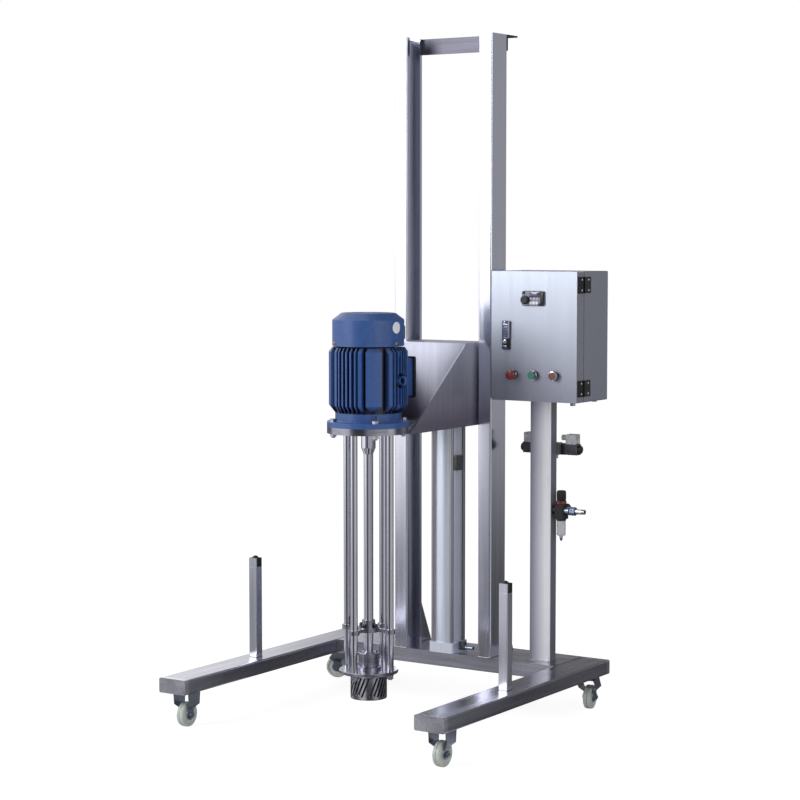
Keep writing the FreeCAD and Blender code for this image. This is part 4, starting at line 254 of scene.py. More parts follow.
def make_plastics(colours):
    """Every enamel, plastic and rubber of the machine."""
    enamel = colours.enamel
    # Sprayed machine enamel on sheet: semi-gloss blue with slight orange peel.
    moulded_plastic("blue_enamel", deeper(enamel), enamel, 0.42, 3.0, 0.05, 0.15)
    # The same enamel on the finned casting, with painted shade near black in the depth between the fins.
    moulded_plastic("blue_enamel_casting", deeper(enamel), enamel, 0.42, 2.2, 0.08, 0.15,
                    fades=[(MIXER_LINE, LEVEL, 104.0, 117.5, "0E0B26", "0E0B26")])
    # The enamel on the machined flange: a little deeper and smoother.
    moulded_plastic("blue_enamel_flange", deeper(enamel, 0.85), enamel, 0.40, 2.2, 0.06, 0.2)
    # Black ABS mouldings: a soft sheen over fine spark grain.
    moulded_plastic("black_abs", "08080B", "121218", 0.42)
    # Blackened steel hinges and caps: satin black.
    moulded_plastic("black_oxide_steel", "0C0C10", "1C1C23", 0.34)
    # Cast nylon wheels: pale, waxy and slightly uneven.
    moulded_plastic("cast_nylon_wheel", deeper(colours.wheel), colours.wheel, 0.42, 1.2)
    # Natural nylon guide shoes: milky and matt.
    moulded_plastic("natural_nylon", "D9D8CE", "E6E5DC", 0.5)
    # Coloured ABS buttons: a slight polish on the crown.
    moulded_plastic("red_abs", deeper(colours.stop_button), colours.stop_button, 0.3, 0.8, 0.02, 0.3)
    moulded_plastic("green_abs", deeper(colours.start_button), colours.start_button, 0.3, 0.8, 0.02, 0.3)
    # Lavender-grey ABS of the operator panel: an even, fine matt grain.
    moulded_plastic("grey_abs", "86859C", "9493AA", 0.38)
    # Dark grey ABS housings: dull, with fine grain.
    moulded_plastic("dark_grey_abs", "3B3D40", "505256", 0.48)
    # Epoxy-cast valve coils: dark blue-grey with a low sheen.
    moulded_plastic("epoxy_coil", "2E2E3C", "3E3E50", 0.4)
    # Smoked acrylic window: smooth and glossy.
    moulded_plastic("smoked_acrylic", "4A4A66", "5A5A76", 0.14, 0.8, 0.005, 0.6)
    # Grey rubber seal of the door: matt, with hardly a highlight.
    moulded_plastic("grey_rubber", "5A5B66", "666772", 0.7)
    # White vinyl label and dial: smooth and bright.
    moulded_plastic("white_vinyl", "E4E1EA", "F0EEF5", 0.4, 0.8, 0.01)
    # Moulded silicone keys: matt and pale.
    moulded_plastic("white_silicone", "EDEDF2", "F8F8FC", 0.5)
    moulded_plastic("pale_blue_silicone", "C4DDF0", "D6E8F6", 0.5)
    moulded_plastic("pink_silicone", "EFC3CC", "F4D2D8", 0.5)
    # Navy ABS handle of the door lock: a soft sheen.
    moulded_plastic("navy_abs", "34345A", "44446E", 0.36)
    # Clear polycarbonate plugs: silvery from the metal inside.
    moulded_plastic("silvery_polycarbonate", "B4B6BC", "E6E8EC", 0.20, 6.0, 0.05, clear=0.4)
    # Clear polycarbonate bowl: milky and smooth.
    moulded_plastic("clear_polycarbonate", "E6E9F2", "F7F8FC", 0.16, 6.0, 0.05, clear=0.5)


FINISHED_NODES = {
    "brushed_304_leg": ("left_leg", "right_leg"),
    "brushed_304_cross": ("cross_beam",),
    "polished_304_upright": ("left_column", "right_column", "tank_posts"),
    "mill_304_angle": ("top_tie_angle",),
    "brushed_304_sheet": ("column_braces",),
    "black_abs": ("post_inserts", "cooling_fan", "terminal_lid", "door_fittings", "speed_knob",
                  "regulator_body", "regulator_knob"),
    "zinc_plated_steel": ("front_caster_forks", "rear_caster_plates", "rear_left_fork",
                          "rear_right_fork", "lock_handle", "pipe_fittings"),
    "cast_nylon_wheel": ("front_left_wheel", "front_right_wheel", "rear_left_wheel", "rear_right_wheel"),
    "anodised_aluminium": ("cylinder_end_caps", "cylinder_barrel"),
    "dull_drawn_steel": ("cylinder_tie_rods", "solenoid_valve"),
    "polished_304_bar": ("piston_rod", "support_rods", "mixer_shaft"),
    "brushed_304_carriage": ("lift_bracket",),
    "natural_nylon": ("guide_shoes",),
    "turned_304": ("head_plate", "head_fasteners", "steady_bearing", "bearing_housing", "bottom_plate"),
    "ground_304": ("stator",),
    "machined_steel": ("rotor_head", "motor_rotor"),
    "blue_enamel_casting": ("motor_frame",),
    "blue_enamel_flange": ("motor_flange",),
    "blue_enamel": ("fan_cowl", "terminal_box", "lifting_eye"),
    "filmed_304_post": ("box_post",),
    "cabinet_304_sheet": ("cabinet_body",),
    "cabinet_304_door": ("cabinet_door",),
    "black_oxide_steel": ("hinge_fixed_leaves",),
    "grey_abs": ("keypad_panel",),
    "red_abs": ("stop_mushroom", "halt_button"),
    "green_abs": ("start_button",),
    "galvanised_sheet": ("mounting_panel",),
    "dark_grey_abs": ("drive_unit", "switchgear"),
    "silvery_polycarbonate": ("valve_plugs",),
    "clear_polycarbonate": ("regulator_bowl",),
}


# Surfaces worked out as whole arrays, in mm

BEAD_STEP = 1.5
CREASE_DEG = 38.0


def axes_of(axis):
    """Unit columns: two across the axis and the axis itself."""
    along = np.asarray(axis, float)
    along = along / np.linalg.norm(along)
    spare = np.array([0.0, 0.0, 1.0]) if abs(along[2]) < 0.9 else np.array([1.0, 0.0, 0.0])
    across = np.cross(spare, along)
    across = across / np.linalg.norm(across)
    return np.column_stack((across, np.cross(along, across), along))


def lathe(profile, centre, axis=(0, 0, 1), count=32, sides=0, lobes=0, depth=0.0):
    """Turned form: centre + r(t) (cos a, sin a) across the axis + h(t) along it. A third number in a
    profile row shares its radius between the circle and r cos(pi/n) / cos(a mod 2pi/n - pi/n), the
    outline of a polygon of n sides, or r (1 + depth cos(lobes a)), a fluted outline."""
    angle = np.linspace(0.0, 2.0 * np.pi, count, endpoint=False)
    rows = np.array([(tuple(row) + (0.0,))[:3] for row in profile])
    shape = 1.0 + depth * np.cos(lobes * angle)
    if sides:
        step = 2.0 * np.pi / sides
        shape = np.cos(step / 2.0) / np.cos(np.mod(angle, step) - step / 2.0)
    radius = rows[:, :1] * (1.0 + rows[:, 2:3] * (shape - 1.0))
    local = np.stack((radius * np.cos(angle), radius * np.sin(angle),
                      np.broadcast_to(rows[:, 1:2], radius.shape)), axis=2)
    return np.asarray(centre, float) + local @ axes_of(axis).T


def outline(width, depth, corner, inset=0.0, arc=5):
    """Rounded rectangle: each corner's centre + (corner - inset) (cos a, sin a) over a quarter turn."""
    angle = (np.linspace(0.0, np.pi / 2.0, arc) + np.arange(4)[:, None] * np.pi / 2.0).ravel()
    sign_x = np.repeat([1.0, -1.0, -1.0, 1.0], arc)
    sign_y = np.repeat([1.0, 1.0, -1.0, -1.0], arc)
    inset = np.asarray(inset, float)
    x = sign_x * (width / 2.0 - corner) + (corner - inset) * np.cos(angle)
    y = sign_y * (depth / 2.0 - corner) + (corner - inset) * np.sin(angle)
    return np.stack((x, y), axis=-1)


def pillow(low, high, edge, axis=2, ribs=0, rib_depth=0.0):
    """Moulded block: a rounded rectangle is carried along the axis, and draws in by
    edge (1 - sin t) while it rises by edge (1 - cos t) at both ends, so every edge is a quarter round.
    Ribs draw it in by rib_depth (1 - cos(2 pi n s)) / 2 on the way."""
    low = np.asarray(low, float)
    high = np.asarray(high, float)
    size = high - low
    first, second = [(1, 2), (2, 0), (0, 1)][axis]
    turn = np.linspace(0.0, np.pi / 2.0, 4)
    run = np.linspace(0.0, 1.0, max(2, ribs * 8 + 1))
    rise = np.concatenate((edge * (1.0 - np.cos(turn)), edge + run[1:-1] * (size[axis] - 2.0 * edge),
                           size[axis] - edge * (1.0 - np.cos(turn[::-1]))))
    draw = np.concatenate((edge * (1.0 - np.sin(turn)),
                           rib_depth * (1.0 - np.cos(2.0 * np.pi * ribs * run[1:-1])) / 2.0,
                           edge * (1.0 - np.sin(turn[::-1]))))
    flat = outline(size[first], size[second], edge, draw[:, None])
    points = np.empty(flat.shape[:2] + (3,))
    points[..., first] = flat[..., 0] + (low[first] + high[first]) / 2.0
    points[..., second] = flat[..., 1] + (low[second] + high[second]) / 2.0
    points[..., axis] = low[axis] + rise[:, None]
    return points


def dense(path, step, closed=False):
    """Points every step mm along straight runs, by length."""
    path = np.asarray(path, float)
    if closed:
        path = np.vstack((path, path[:1]))
    length = np.concatenate(([0.0], np.cumsum(np.linalg.norm(np.diff(path, axis=0), axis=1))))
    count = max(3, int(round(length[-1] / step)) + 1)
    where = np.linspace(0.0, length[-1], count)
    made = np.stack([np.interp(where, length, path[:, k]) for k in range(3)], axis=1)
    return made[:-1] if closed else made


def bead(path, plane, across, proud, closed=False, ripple_mm=3.4):
    """Weld bead or cord: an ellipse of half-sizes across, along the plane's normal, and proud, in the
    plane, is carried along the path, and swells by 1 + 0.14 cos(2 pi s / ripple)."""
    path = dense(path, BEAD_STEP if ripple_mm else 12.0, closed)
    if closed:
        ahead = np.roll(path, -1, axis=0) - np.roll(path, 1, axis=0)
    else:
        ahead = np.gradient(path, axis=0)
    ahead = ahead / np.linalg.norm(ahead, axis=1)[:, None]
    plane = np.asarray(plane, float)
    out = np.cross(ahead, plane)
    angle = np.linspace(0.0, 2.0 * np.pi, 8, endpoint=False)
    swell = np.ones(len(path))
    if ripple_mm:
        swell = 1.0 + 0.14 * np.cos(2.0 * np.pi * np.arange(len(path)) * BEAD_STEP / ripple_mm)
    swell = swell[:, None, None]
    points = path[:, None, :] + swell * (across * np.cos(angle)[None, :, None] * plane
                                         + proud * np.sin(angle)[None, :, None] * out[:, None, :])
    return (points, True) if closed else points


def loop(centre, width, height, corner, second=1):
    """Rounded rectangle as a path over X and Y, or over X and Z where second is 2."""
    flat = outline(width, height, corner)
    path = np.tile(np.asarray(centre, float), (len(flat), 1))
    path[:, [0, second]] += flat
    return path


def rotated(points, degrees, first, second, centre):
    """Points turned from their first axis toward their second, and then moved to centre."""
    c, s = math.cos(math.radians(degrees)), math.sin(math.radians(degrees))
    made = points.copy()
    made[..., first] = points[..., first] * c - points[..., second] * s
    made[..., second] = points[..., first] * s + points[..., second] * c
    return made + centre


def skin(points, looped):
    """Faces of a grid that closes around its second way: quads between rows, and fans to a middle
    point at both ends, or quads back to the first row where it is looped."""
    rows, around = points.shape[:2]
    row = np.arange(rows if looped else rows - 1)[:, None]
    column = np.arange(around)[None, :]
    after = (column + 1) % around
    below = (row + 1) % rows
    quads = np.stack((row * around + column, row * around + after, below * around + after,
                      below * around + column), axis=2).reshape(-1, 4)
    verts = points.reshape(-1, 3)
    if looped:
        return verts, quads, np.empty((0, 3), int)
    verts = np.vstack((verts, points[0].mean(axis=0), points[-1].mean(axis=0)))
    near = np.arange(around)
    after = (near + 1) % around
    last = (rows - 1) * around
    fans = np.vstack((np.stack((np.full(around, rows * around), after, near), axis=1),
                      np.stack((np.full(around, rows * around + 1), last + near, last + after), axis=1)))
    return verts, quads, fans


def put(name, shapes, finish, body):
    """One piece from several grids, in mm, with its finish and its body."""
    verts, faces, start = [], [], 0
    for shape in shapes:
        points, looped = shape if isinstance(shape, tuple) else (shape, False)
        spots, quads, fans = skin(points, looped)
        tris = np.vstack((quads[:, :3], quads[:, [0, 2, 3]], fans))
        a, b, c = spots[tris[:, 0]], spots[tris[:, 1]], spots[tris[:, 2]]
        if np.einsum("ij,ij->", a, np.cross(b, c)) < 0.0:
            quads = quads[:, ::-1]
            fans = fans[:, ::-1]
        verts.append(spots)
        faces += (quads + start).tolist() + (fans + start).tolist()
        start += len(spots)
    mesh = bpy.data.meshes.new(name)
    mesh.from_pydata((np.vstack(verts) * MM).tolist(), [], faces)
    mesh.materials.append(MATERIALS[finish])
    mesh.shade_smooth()
    mesh.set_sharp_from_angle(angle=math.radians(CREASE_DEG))
    made = bpy.data.objects.new(name, mesh)
    bpy.context.scene.collection.objects.link(made)
    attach(made, body)


def screw(centre, axis, radius, height):
    """Pan-head screw with a hexagon socket."""
    return lathe([(radius, -0.6), (radius, 0.3 * height), (0.92 * radius, 0.7 * height),
                  (0.7 * radius, height), (0.46 * radius, height, 1.0), (0.44 * radius, 0.45 * height, 1.0),
                  (0.02 * radius, 0.42 * height)], centre, axis, 24, sides=6)


def collar(centre, axis, inner, outer, low, high, bevel=0.4, **more):
    """Ring: a rectangle with broken corners turned about the axis."""
    return (lathe([(inner, low), (outer - bevel, low), (outer, low + bevel, 1.0), (outer, high - bevel, 1.0),
                   (outer - bevel, high), (inner, high)], centre, axis, **more), True)


LENGTH = {"unit": "LENGTH", "precision": 4}
COLOUR = {"subtype": "COLOR", "size": 3, "min": 0.0, "max": 1.0}


class MIXER_PG_sizes(bpy.types.PropertyGroup):
    """Sizes of the fine parts that are added to the machine."""
    weld_width: FloatProperty(name="Weld width", description="Half width of the fillet beads",
                              default=1.9 * MM, min=0.5 * MM, max=4.0 * MM, **LENGTH)
    weld_ripple: FloatProperty(name="Weld ripple", description="Length of one ripple along a bead",
                               default=3.4 * MM, min=1.0 * MM, max=10.0 * MM, **LENGTH)
    hub_radius: FloatProperty(name="Hub radius", description="Outside radius of the wheels' hub rings",
                              default=16.5 * MM, min=12.0 * MM, max=24.0 * MM, **LENGTH)
    label_radius: FloatProperty(name="Label radius", description="Radius of the blank label on the cowl",
                                default=17.5 * MM, min=8.0 * MM, max=22.0 * MM, **LENGTH)
    hinge_screw: FloatProperty(name="Hinge screw", description="Radius of the hinge screws' heads",
                               default=3.6 * MM, min=2.0 * MM, max=5.0 * MM, **LENGTH)
    knob_flutes: IntProperty(name="Knob flutes", description="Number of grip flutes on the speed knob",
                             default=24, min=8, max=48)


class MIXER_PG_colours(bpy.types.PropertyGroup):
    """Colours of the enamel, wheels and buttons."""
    enamel: FloatVectorProperty(name="Enamel", description="Enamel of the motor",
                                default=linear("2F5596")[:3], **COLOUR)
    wheel: FloatVectorProperty(name="Wheels", description="Nylon of the castor wheels",
                               default=linear("C6CDC8")[:3], **COLOUR)
    stop_button: FloatVectorProperty(name="Stop buttons", description="Red of the stop buttons",
                                     default=linear("7C2B2B")[:3], **COLOUR)
    start_button: FloatVectorProperty(name="Start button", description="Green of the start button",
                                      default=linear("357A6A")[:3], **COLOUR)


class MIXER_PG_view(bpy.types.PropertyGroup):
    """Camera and light of the picture."""
    lens: FloatProperty(name="Lens", description="Focal length on a 36 mm sensor", default=96.55,
                        unit="CAMERA")
    eye: FloatVectorProperty(name="Eye", description="Camera position", size=3,
                             default=(3.6026, -5.458, 1.4912), unit="LENGTH")
    turn: FloatVectorProperty(name="Turn", description="Camera rotation", size=3,
                              default=(math.radians(85.67), 0.0, math.radians(33.0)), subtype="EULER")
    shift: FloatVectorProperty(name="Shift", description="Lens shift, as a share of the frame",
                               size=2, default=(-0.0060, -0.0037))
    key_power: FloatProperty(name="Key light", description="Strength of the main lamp", default=150.0,
                             unit="POWER")
    fill_power: FloatProperty(name="Fill light", description="Strength of the side lamp", default=40.0,
                              unit="POWER")
    sky: FloatProperty(name="Sky", description="Strength of the light from all around", default=0.46)


class MIXER_OT_finishes(bpy.types.Operator):
    """Give every rigid node of the machine its finish."""
    bl_idname = "mixer.finishes"
    bl_label = "Finishes"

    def execute(self, context):
        make_metals()
        make_plastics(context.scene.mixer_colours)
        for finish, names in FINISHED_NODES.items():
            for name in names:
                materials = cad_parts[name].data.materials
                materials.clear()
                materials.append(MATERIALS[finish])
        return {"FINISHED"}


class MIXER_OT_welds(bpy.types.Operator):
    """Lay the weld beads of the base, columns, posts and braces."""
    bl_idname = "mixer.welds"
    bl_label = "Weld beads"

    def execute(self, context):
        up, ahead, right = (0, 0, 1), (0, 1, 0), (1, 0, 0)
        sizes = context.scene.mixer_sizes
        half = sizes.weld_width / MM
        fillet = {"plane": up, "across": half, "proud": half, "ripple_mm": sizes.weld_ripple / MM}
        posts_low, posts_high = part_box("tank_posts")
        post_y = (posts_low[1] + posts_high[1]) / 2.0 / MM
        beads = [bead(loop((330.5, 377.0, BASE_TOP), 75.0, 42.0, 6.0), closed=True, **fillet)]
        for side in (-1.0, 1.0):
            for end in (-LEG_END_Y, LEG_END_Y):
                cap = loop((side * LEG_X, end, 133.5), 99.2, 45.0, 5.0, 2)
                beads.append(bead(cap, ahead, 2.2, 0.35, closed=True))
            leg = side * 408.0
            beads.append(bead([(leg, 308.0, BASE_TOP), (leg, 491.0, BASE_TOP)], right, 2.6, 0.5))
            beads.append(bead([(leg, BEAM_FRONT_Y, 112.0), (leg, BEAM_FRONT_Y, 155.0)], right, 2.6, 2.6))
            column = [(side * 134.0, 307.5, BASE_TOP), (side * 180.5, 307.5, BASE_TOP),
                      (side * 181.0, 398.5, BASE_TOP), (side * 134.0, 399.0, BASE_TOP)]
            beads.append(bead(column, **fillet))
            post = loop((side * LEG_X, post_y, BASE_TOP), 30.0, 30.0, 3.0)
            beads.append(bead(post, closed=True, **fillet))
            brace = side * 157.0
            beads.append(bead([(brace, 400.0, 335.0), (brace, 400.0, 157.0), (brace, 484.0, 157.0)], right,
                              5.0, 2.0))
        put("base_welds", beads, "weld_304", "base")
        return {"FINISHED"}


class MIXER_OT_castors(bpy.types.Operator):
    """Fit hub covers and dust rings on the four wheels."""
    bl_idname = "mixer.castors"
    bl_label = "Castor hubs"

    def execute(self, context):
        reach = context.scene.mixer_sizes.hub_radius / MM
        swivels = {"front_left_wheel": 0.0, "front_right_wheel": 0.0, "rear_left_wheel": 115.0,
                   "rear_right_wheel": 10.0}
        for name, degrees in swivels.items():
            axle = (math.cos(math.radians(degrees)), math.sin(math.radians(degrees)), 0.0)
            low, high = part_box(name)
            centre = (np.asarray(low) + np.asarray(high)) / 2.0 / MM
            rings = []
            for side in (-1.0, 1.0):
                way = [side * part for part in axle]
                rings.append(collar(centre, way, 7.5, reach, 12.9, 14.4, 0.7, count=40))
                rings.append(collar(centre, way, 7.5, 11.0, 14.3, 16.6, 0.6, count=32))
            put(name + "_hubs", rings, "zinc_plated_steel", name)
        return {"FINISHED"}


class MIXER_OT_cylinder_parts(bpy.types.Operator):
    """Cover the position sensor and dress the port fittings."""
    bl_idname = "mixer.cylinder_parts"
    bl_label = "Cylinder fittings"

    def execute(self, context):
        cover = [pillow((37.7, 310.6, 743.2), (52.4, 352.4, 790.8), 2.2, axis=2),
                 pillow((45.5, 337.6, 164.2), (65.3, 354.4, 190.8), 2.0, axis=2)]
        put("sensor_cover", cover, "dark_grey_abs", "base")
        run = np.linspace(65.2, 94.6, 37)
        radius = 5.9 + 0.55 * np.cos(2.0 * np.pi * (run - 65.2) / 4.2)
        ribs = np.stack((radius, run), axis=1).tolist() + [(3.0, 95.0)]
        put("silencer_ribs", [lathe(ribs, (0.0, 346.0, 172.5), (1, 0, 0), 24)], "nickel_plate", "base")
        dome = [(6.0, 304.5), (6.1, 309.0), (5.6, 312.0), (4.2, 314.0), (2.2, 315.0)]
        caps = [lathe(dome, (27.0 * x, MOTOR_Y + 27.0 * y, 0.0), count=24)
                for x, y in ((1, 0), (0, 1), (-1, 0), (0, -1))]
        put("steady_screw_caps", caps, "black_oxide_steel", "carriage")
        return {"FINISHED"}


class MIXER_OT_motor_parts(bpy.types.Operator):
    """Add the cowl's screws, blank round label and clip, and the terminal lid's screws."""
    bl_idname = "mixer.motor_parts"
    bl_label = "Motor details"

    def execute(self, context):
        heads = []
        head = [(6.2, -0.4), (6.2, 0.6), (5.4, 0.9), (5.2, 1.8), (4.4, 2.6), (2.6, 2.9), (2.4, 1.4),
                (0.3, 1.3)]
        for degrees in (-5.0, 115.0, 235.0):
            way = (math.cos(math.radians(degrees)), math.sin(math.radians(degrees)), 0.0)
            spot = (108.6 * way[0], MOTOR_Y + 108.6 * way[1], 1167.0)
            heads.append(lathe(head, spot, way, 24))
        put("cowl_screws", heads, "yellow_zinc_screw", "carriage")

        angle = np.linspace(0.0, 2.0 * np.pi, 40, endpoint=False)
        radius = context.scene.mixer_sizes.label_radius / MM
        reach = radius * np.array([0.06, 0.34, 0.69, 0.96, 0.994, 1.0])[:, None]
        out = COWL_RADIUS + np.array([0.45, 0.45, 0.45, 0.45, 0.35, -0.2])[:, None]
        turn = math.radians(LABEL_DEG) + reach * np.cos(angle) / COWL_RADIUS
        label = np.stack((out * np.cos(turn), out * np.sin(turn) + MOTOR_Y, 1215.0 + reach * np.sin(angle)),
                         axis=2)
        put("blank_round_label", [label], "white_vinyl", "carriage")

        clip = pillow((107.4, -6.0, 1179.0), (111.6, 6.0, 1218.0), 1.2, axis=2)
        put("cowl_clip", [rotated(clip, 42.0, 0, 1, MIXER_LINE)], "black_abs", "carriage")

        heads = [screw((x, 60.0, z), (0, 1, 0), 4.0, 2.4) for x in (-51.0, 51.0) for z in (1002.0, 1111.0)]
        put("terminal_lid_screws", heads, "zinc_plated_steel", "carriage")
        return {"FINISHED"}


class MIXER_OT_cabinet_parts(bpy.types.Operator):
    """Fit the gasket, hinge screws, button rings, lock parts and operator panel."""
    bl_idname = "mixer.cabinet_parts"
    bl_label = "Cabinet details"

    def execute(self, context):
        sizes = context.scene.mixer_sizes
        screw_radius = sizes.hinge_screw / MM
        seal = loop((CABINET_X, 322.0, CABINET_Z), 286.0, 386.0, 8.0, 2)
        put("door_gasket", [bead(seal, (0, 1, 0), 0.95, 4.0, closed=True, ripple_mm=0.0)], "grey_rubber",
            "door")
        for name, y, body in (("door_leaf_screws", 303.5, "door"), ("fixed_leaf_screws", 346.0, "base")):
            heads = [screw((503.0, y, z), (1, 0, 0), screw_radius, 1.8)
                     for z in (1006.0, 1038.0, 1322.0, 1354.0)]
            put(name, heads, "chrome_plate", body)

        front = (0, -1, 0)
        crown = [(11.7, -0.5), (14.9, -0.5), (14.9, 3.0), (14.2, 6.6), (13.0, 7.4), (11.7, 7.4)]
        rings = [collar((280.5, BUTTON_Y, BUTTON_Z), front, 9.0, 14.7, -0.8, 1.4, 0.5, count=48),
                 collar((352.5, BUTTON_Y, BUTTON_Z), front, 13.7, 15.0, -3.0, 3.4, 0.5, count=48),
                 (lathe(crown, (424.5, BUTTON_Y, BUTTON_Z), front, 48), True)]
        put("button_rings", rings, "chrome_plate", "door")

        parts = [lathe([(7.0, -0.5), (7.0, 1.4), (6.2, 2.0), (4.4, 2.0), (4.2, 1.0), (0.4, 0.9)],
                       (252.5, 270.0, 1161.0), front, 32),
                 pillow((246.5, 268.6, 1145.0), (259.0, 270.4, 1149.0), 0.8, axis=0),
                 pillow((251.4, 267.2, 1157.0), (253.6, 269.6, 1165.0), 0.5, axis=2)]
        angle = np.linspace(0.0, 2.0 * np.pi, 32, endpoint=False)[:, None]
        ring = np.linspace(0.0, 2.0 * np.pi, 10, endpoint=False)[None, :]
        eye = np.stack((250.5 + (3.4 + 0.8 * np.cos(ring)) * np.cos(angle),
                        269.6 + 0.8 * np.sin(ring) + 0.0 * angle,
                        1220.5 + (3.4 + 0.8 * np.cos(ring)) * np.sin(angle)), axis=2)
        put("lock_chrome", parts + [(eye, True)], "chrome_plate", "door")
        frame_bars = [pillow((241.2, 269.2, 1137.2), (246.2, 271.4, 1225.8), 0.8, axis=2),
                      pillow((245.6, 269.4, 1218.6), (262.4, 271.4, 1225.8), 0.8, axis=0),
                      pillow((245.6, 269.4, 1137.2), (262.4, 271.4, 1143.0), 0.8, axis=0)]
        put("lock_frame", frame_bars, "navy_abs", "door")
        put("lock_edge", [pillow((262.8, 269.2, 1172.0), (267.8, 271.4, 1225.8), 0.8, axis=2)], "grey_abs",
            "door")
        ribs = [pillow((248.0, 267.2, z), (261.0, 268.6, z + 2.4), 0.7, axis=0)
                for z in (1176.0, 1181.0, 1186.0, 1191.0, 1196.0, 1201.0)]
        put("lock_handle_ribs", ribs, "navy_abs", "lock_handle")

        put("panel_window", [pillow((338.0, 271.2, 1300.0), (372.6, 273.2, 1316.2), 0.6, axis=1)],
            "smoked_acrylic", "door")
        dark = [pillow((374.6, 271.0, 1274.6), (388.0, 273.2, 1317.4), 0.7, axis=1),
                pillow((366.8, 271.2, 1274.6), (374.8, 273.2, 1280.4), 0.6, axis=1),
                pillow((312.0, 271.4, 1310.0), (320.0, 273.2, 1317.4), 0.6, axis=1),
                bead(loop((CABINET_X, 273.6, 1296.0), 78.0, 45.0, 2.0, 2), (0, 1, 0), 1.0, 0.7,
                     closed=True, ripple_mm=0.0)]
        put("panel_dark_parts", dark, "black_abs", "door")
        key = [(2.9, -0.5), (2.9, 0.9), (2.4, 1.5), (1.2, 1.7)]
        put("panel_blue_keys", [lathe(key, (x, KEY_Y, 1295.3), front, 24) for x in (341.8, 353.5)],
            "pale_blue_silicone", "door")
        put("panel_pink_key", [lathe(key, (365.2, KEY_Y, 1295.3), front, 24)], "pink_silicone", "door")
        key = [(4.7, -0.5), (4.7, 1.2), (4.1, 1.8), (2.2, 2.1)]
        put("panel_white_keys", [lathe(key, (x, KEY_Y, 1282.2), front, 32) for x in (341.6, 352.2, 362.8)],
            "white_silicone", "door")
        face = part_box("speed_knob")[0][1] / MM
        flutes = [collar((324.0, face, 1291.0), (0, 1, 0), 9.0, 12.9, 0.8, 9.5, 0.6, count=96,
                         lobes=sizes.knob_flutes, depth=0.03),
                  pillow((323.4, face - 0.5, 1293.0), (324.6, face + 0.6, 1301.5), 0.4, axis=2)]
        put("knob_flutes", flutes, "black_abs", "speed_knob")
        return {"FINISHED"}


class MIXER_OT_air_parts(bpy.types.Operator):
    """Dress the valve coils, the clear plugs and the regulator."""
    bl_idname = "mixer.air_parts"
    bl_label = "Valve and regulator details"

    def execute(self, context):
        black, coils, heads = [], [], []
        for side in (-1.0, 1.0):
            middle = VALVE_X + side * 46.5
            black.append(pillow((middle - 7.0, 401.3, 805.3), (middle + 7.0, 430.7, 840.7), 2.0, axis=0))
            middle = VALVE_X + side * 74.8
            coils.append(pillow((middle - 21.8, 401.4, 805.6), (middle + 21.8, 430.6, 840.4), 2.0, axis=0,
                                ribs=3, rib_depth=0.5))
            black.append(lathe([(13.4, 92.0), (13.4, 101.5), (12.2, 105.0), (9.0, 106.8), (3.0, 107.2)],
                               (VALVE_X, VALVE_Y, VALVE_Z), (side, 0, 0), 32))
            heads.append(screw((VALVE_X + side * 66.0, VALVE_Y, 870.4), (0, 0, 1), 3.0, 1.4))
        put("valve_black_parts", black, "black_abs", "base")
        put("valve_coils", coils, "epoxy_coil", "base")
        put("plug_screws", heads, "zinc_plated_steel", "base")

        up = (0, 0, 1)
        put("regulator_ring", [collar(REGULATOR, up, 13.0, 16.2, 654.5, 664.5, 0.8, count=48)],
            "red_abs", "base")
        knob = [(14.0, 667.2), (14.5, 668.0, 1.0), (14.5, 690.0, 1.0), (13.6, 694.6, 0.6), (11.5, 696.6),
                (6.0, 697.0)]
        put("regulator_flutes", [lathe(knob, REGULATOR, up, 112, lobes=28, depth=0.025)], "black_abs",
            "regulator_knob")
        drain = [(5.6, 556.0), (5.6, 549.0), (4.2, 546.0), (3.6, 540.5), (2.4, 539.0)]
        put("bowl_drain", [lathe(drain, REGULATOR, up, 24)], "nickel_plate", "base")
        put("bowl_band", [collar(REGULATOR, up, 13.2, 15.2, 602.5, 608.5, 0.6, count=40)], "black_abs",
            "base")
        right = (1, 0, 0)
        rings = [collar(COUPLER, right, 6.0, 11.6, 412.5, 424.0, 0.8, count=48, sides=6),
                 collar(COUPLER, right, 6.0, 13.2, 428.0, 446.0, 1.2, count=96, lobes=32, depth=0.02)]
        put("coupler_rings", rings, "nickel_plate", "base")
        put("coupler_sleeve", [collar(COUPLER, right, 4.0, 8.4, 447.0, 468.0, 1.0, count=40)],
            "chrome_plate", "base")

        back = (0, 1, 0)
        put("gauge_face", [lathe([(11.2, -0.4), (11.2, 0.2), (5.0, 0.25)], GAUGE, back, 40)],
            "white_vinyl", "base")
        marks = [collar(GAUGE, back, 11.0, 13.0, -0.5, 0.9, 0.3, count=48)]
        tick = pillow((-0.25, 0.15, 8.2), (0.25, 0.4, 10.6), 0.1, axis=2)
        marks += [rotated(tick, degrees, 0, 2, GAUGE) for degrees in range(-135, 136, 30)]
        marks.append(pillow((394.6, 416.2, 636.0), (395.4, 416.6, 647.5), 0.15, axis=2))
        put("gauge_marks", marks, "black_abs", "base")
        return {"FINISHED"}


FLOOR_REACH = 30.0
FLOOR_GLOW = 1.38
FLOOR_GLOW_SHARE = 0.62
WHITE = (1.0, 1.0, 1.0, 1.0)

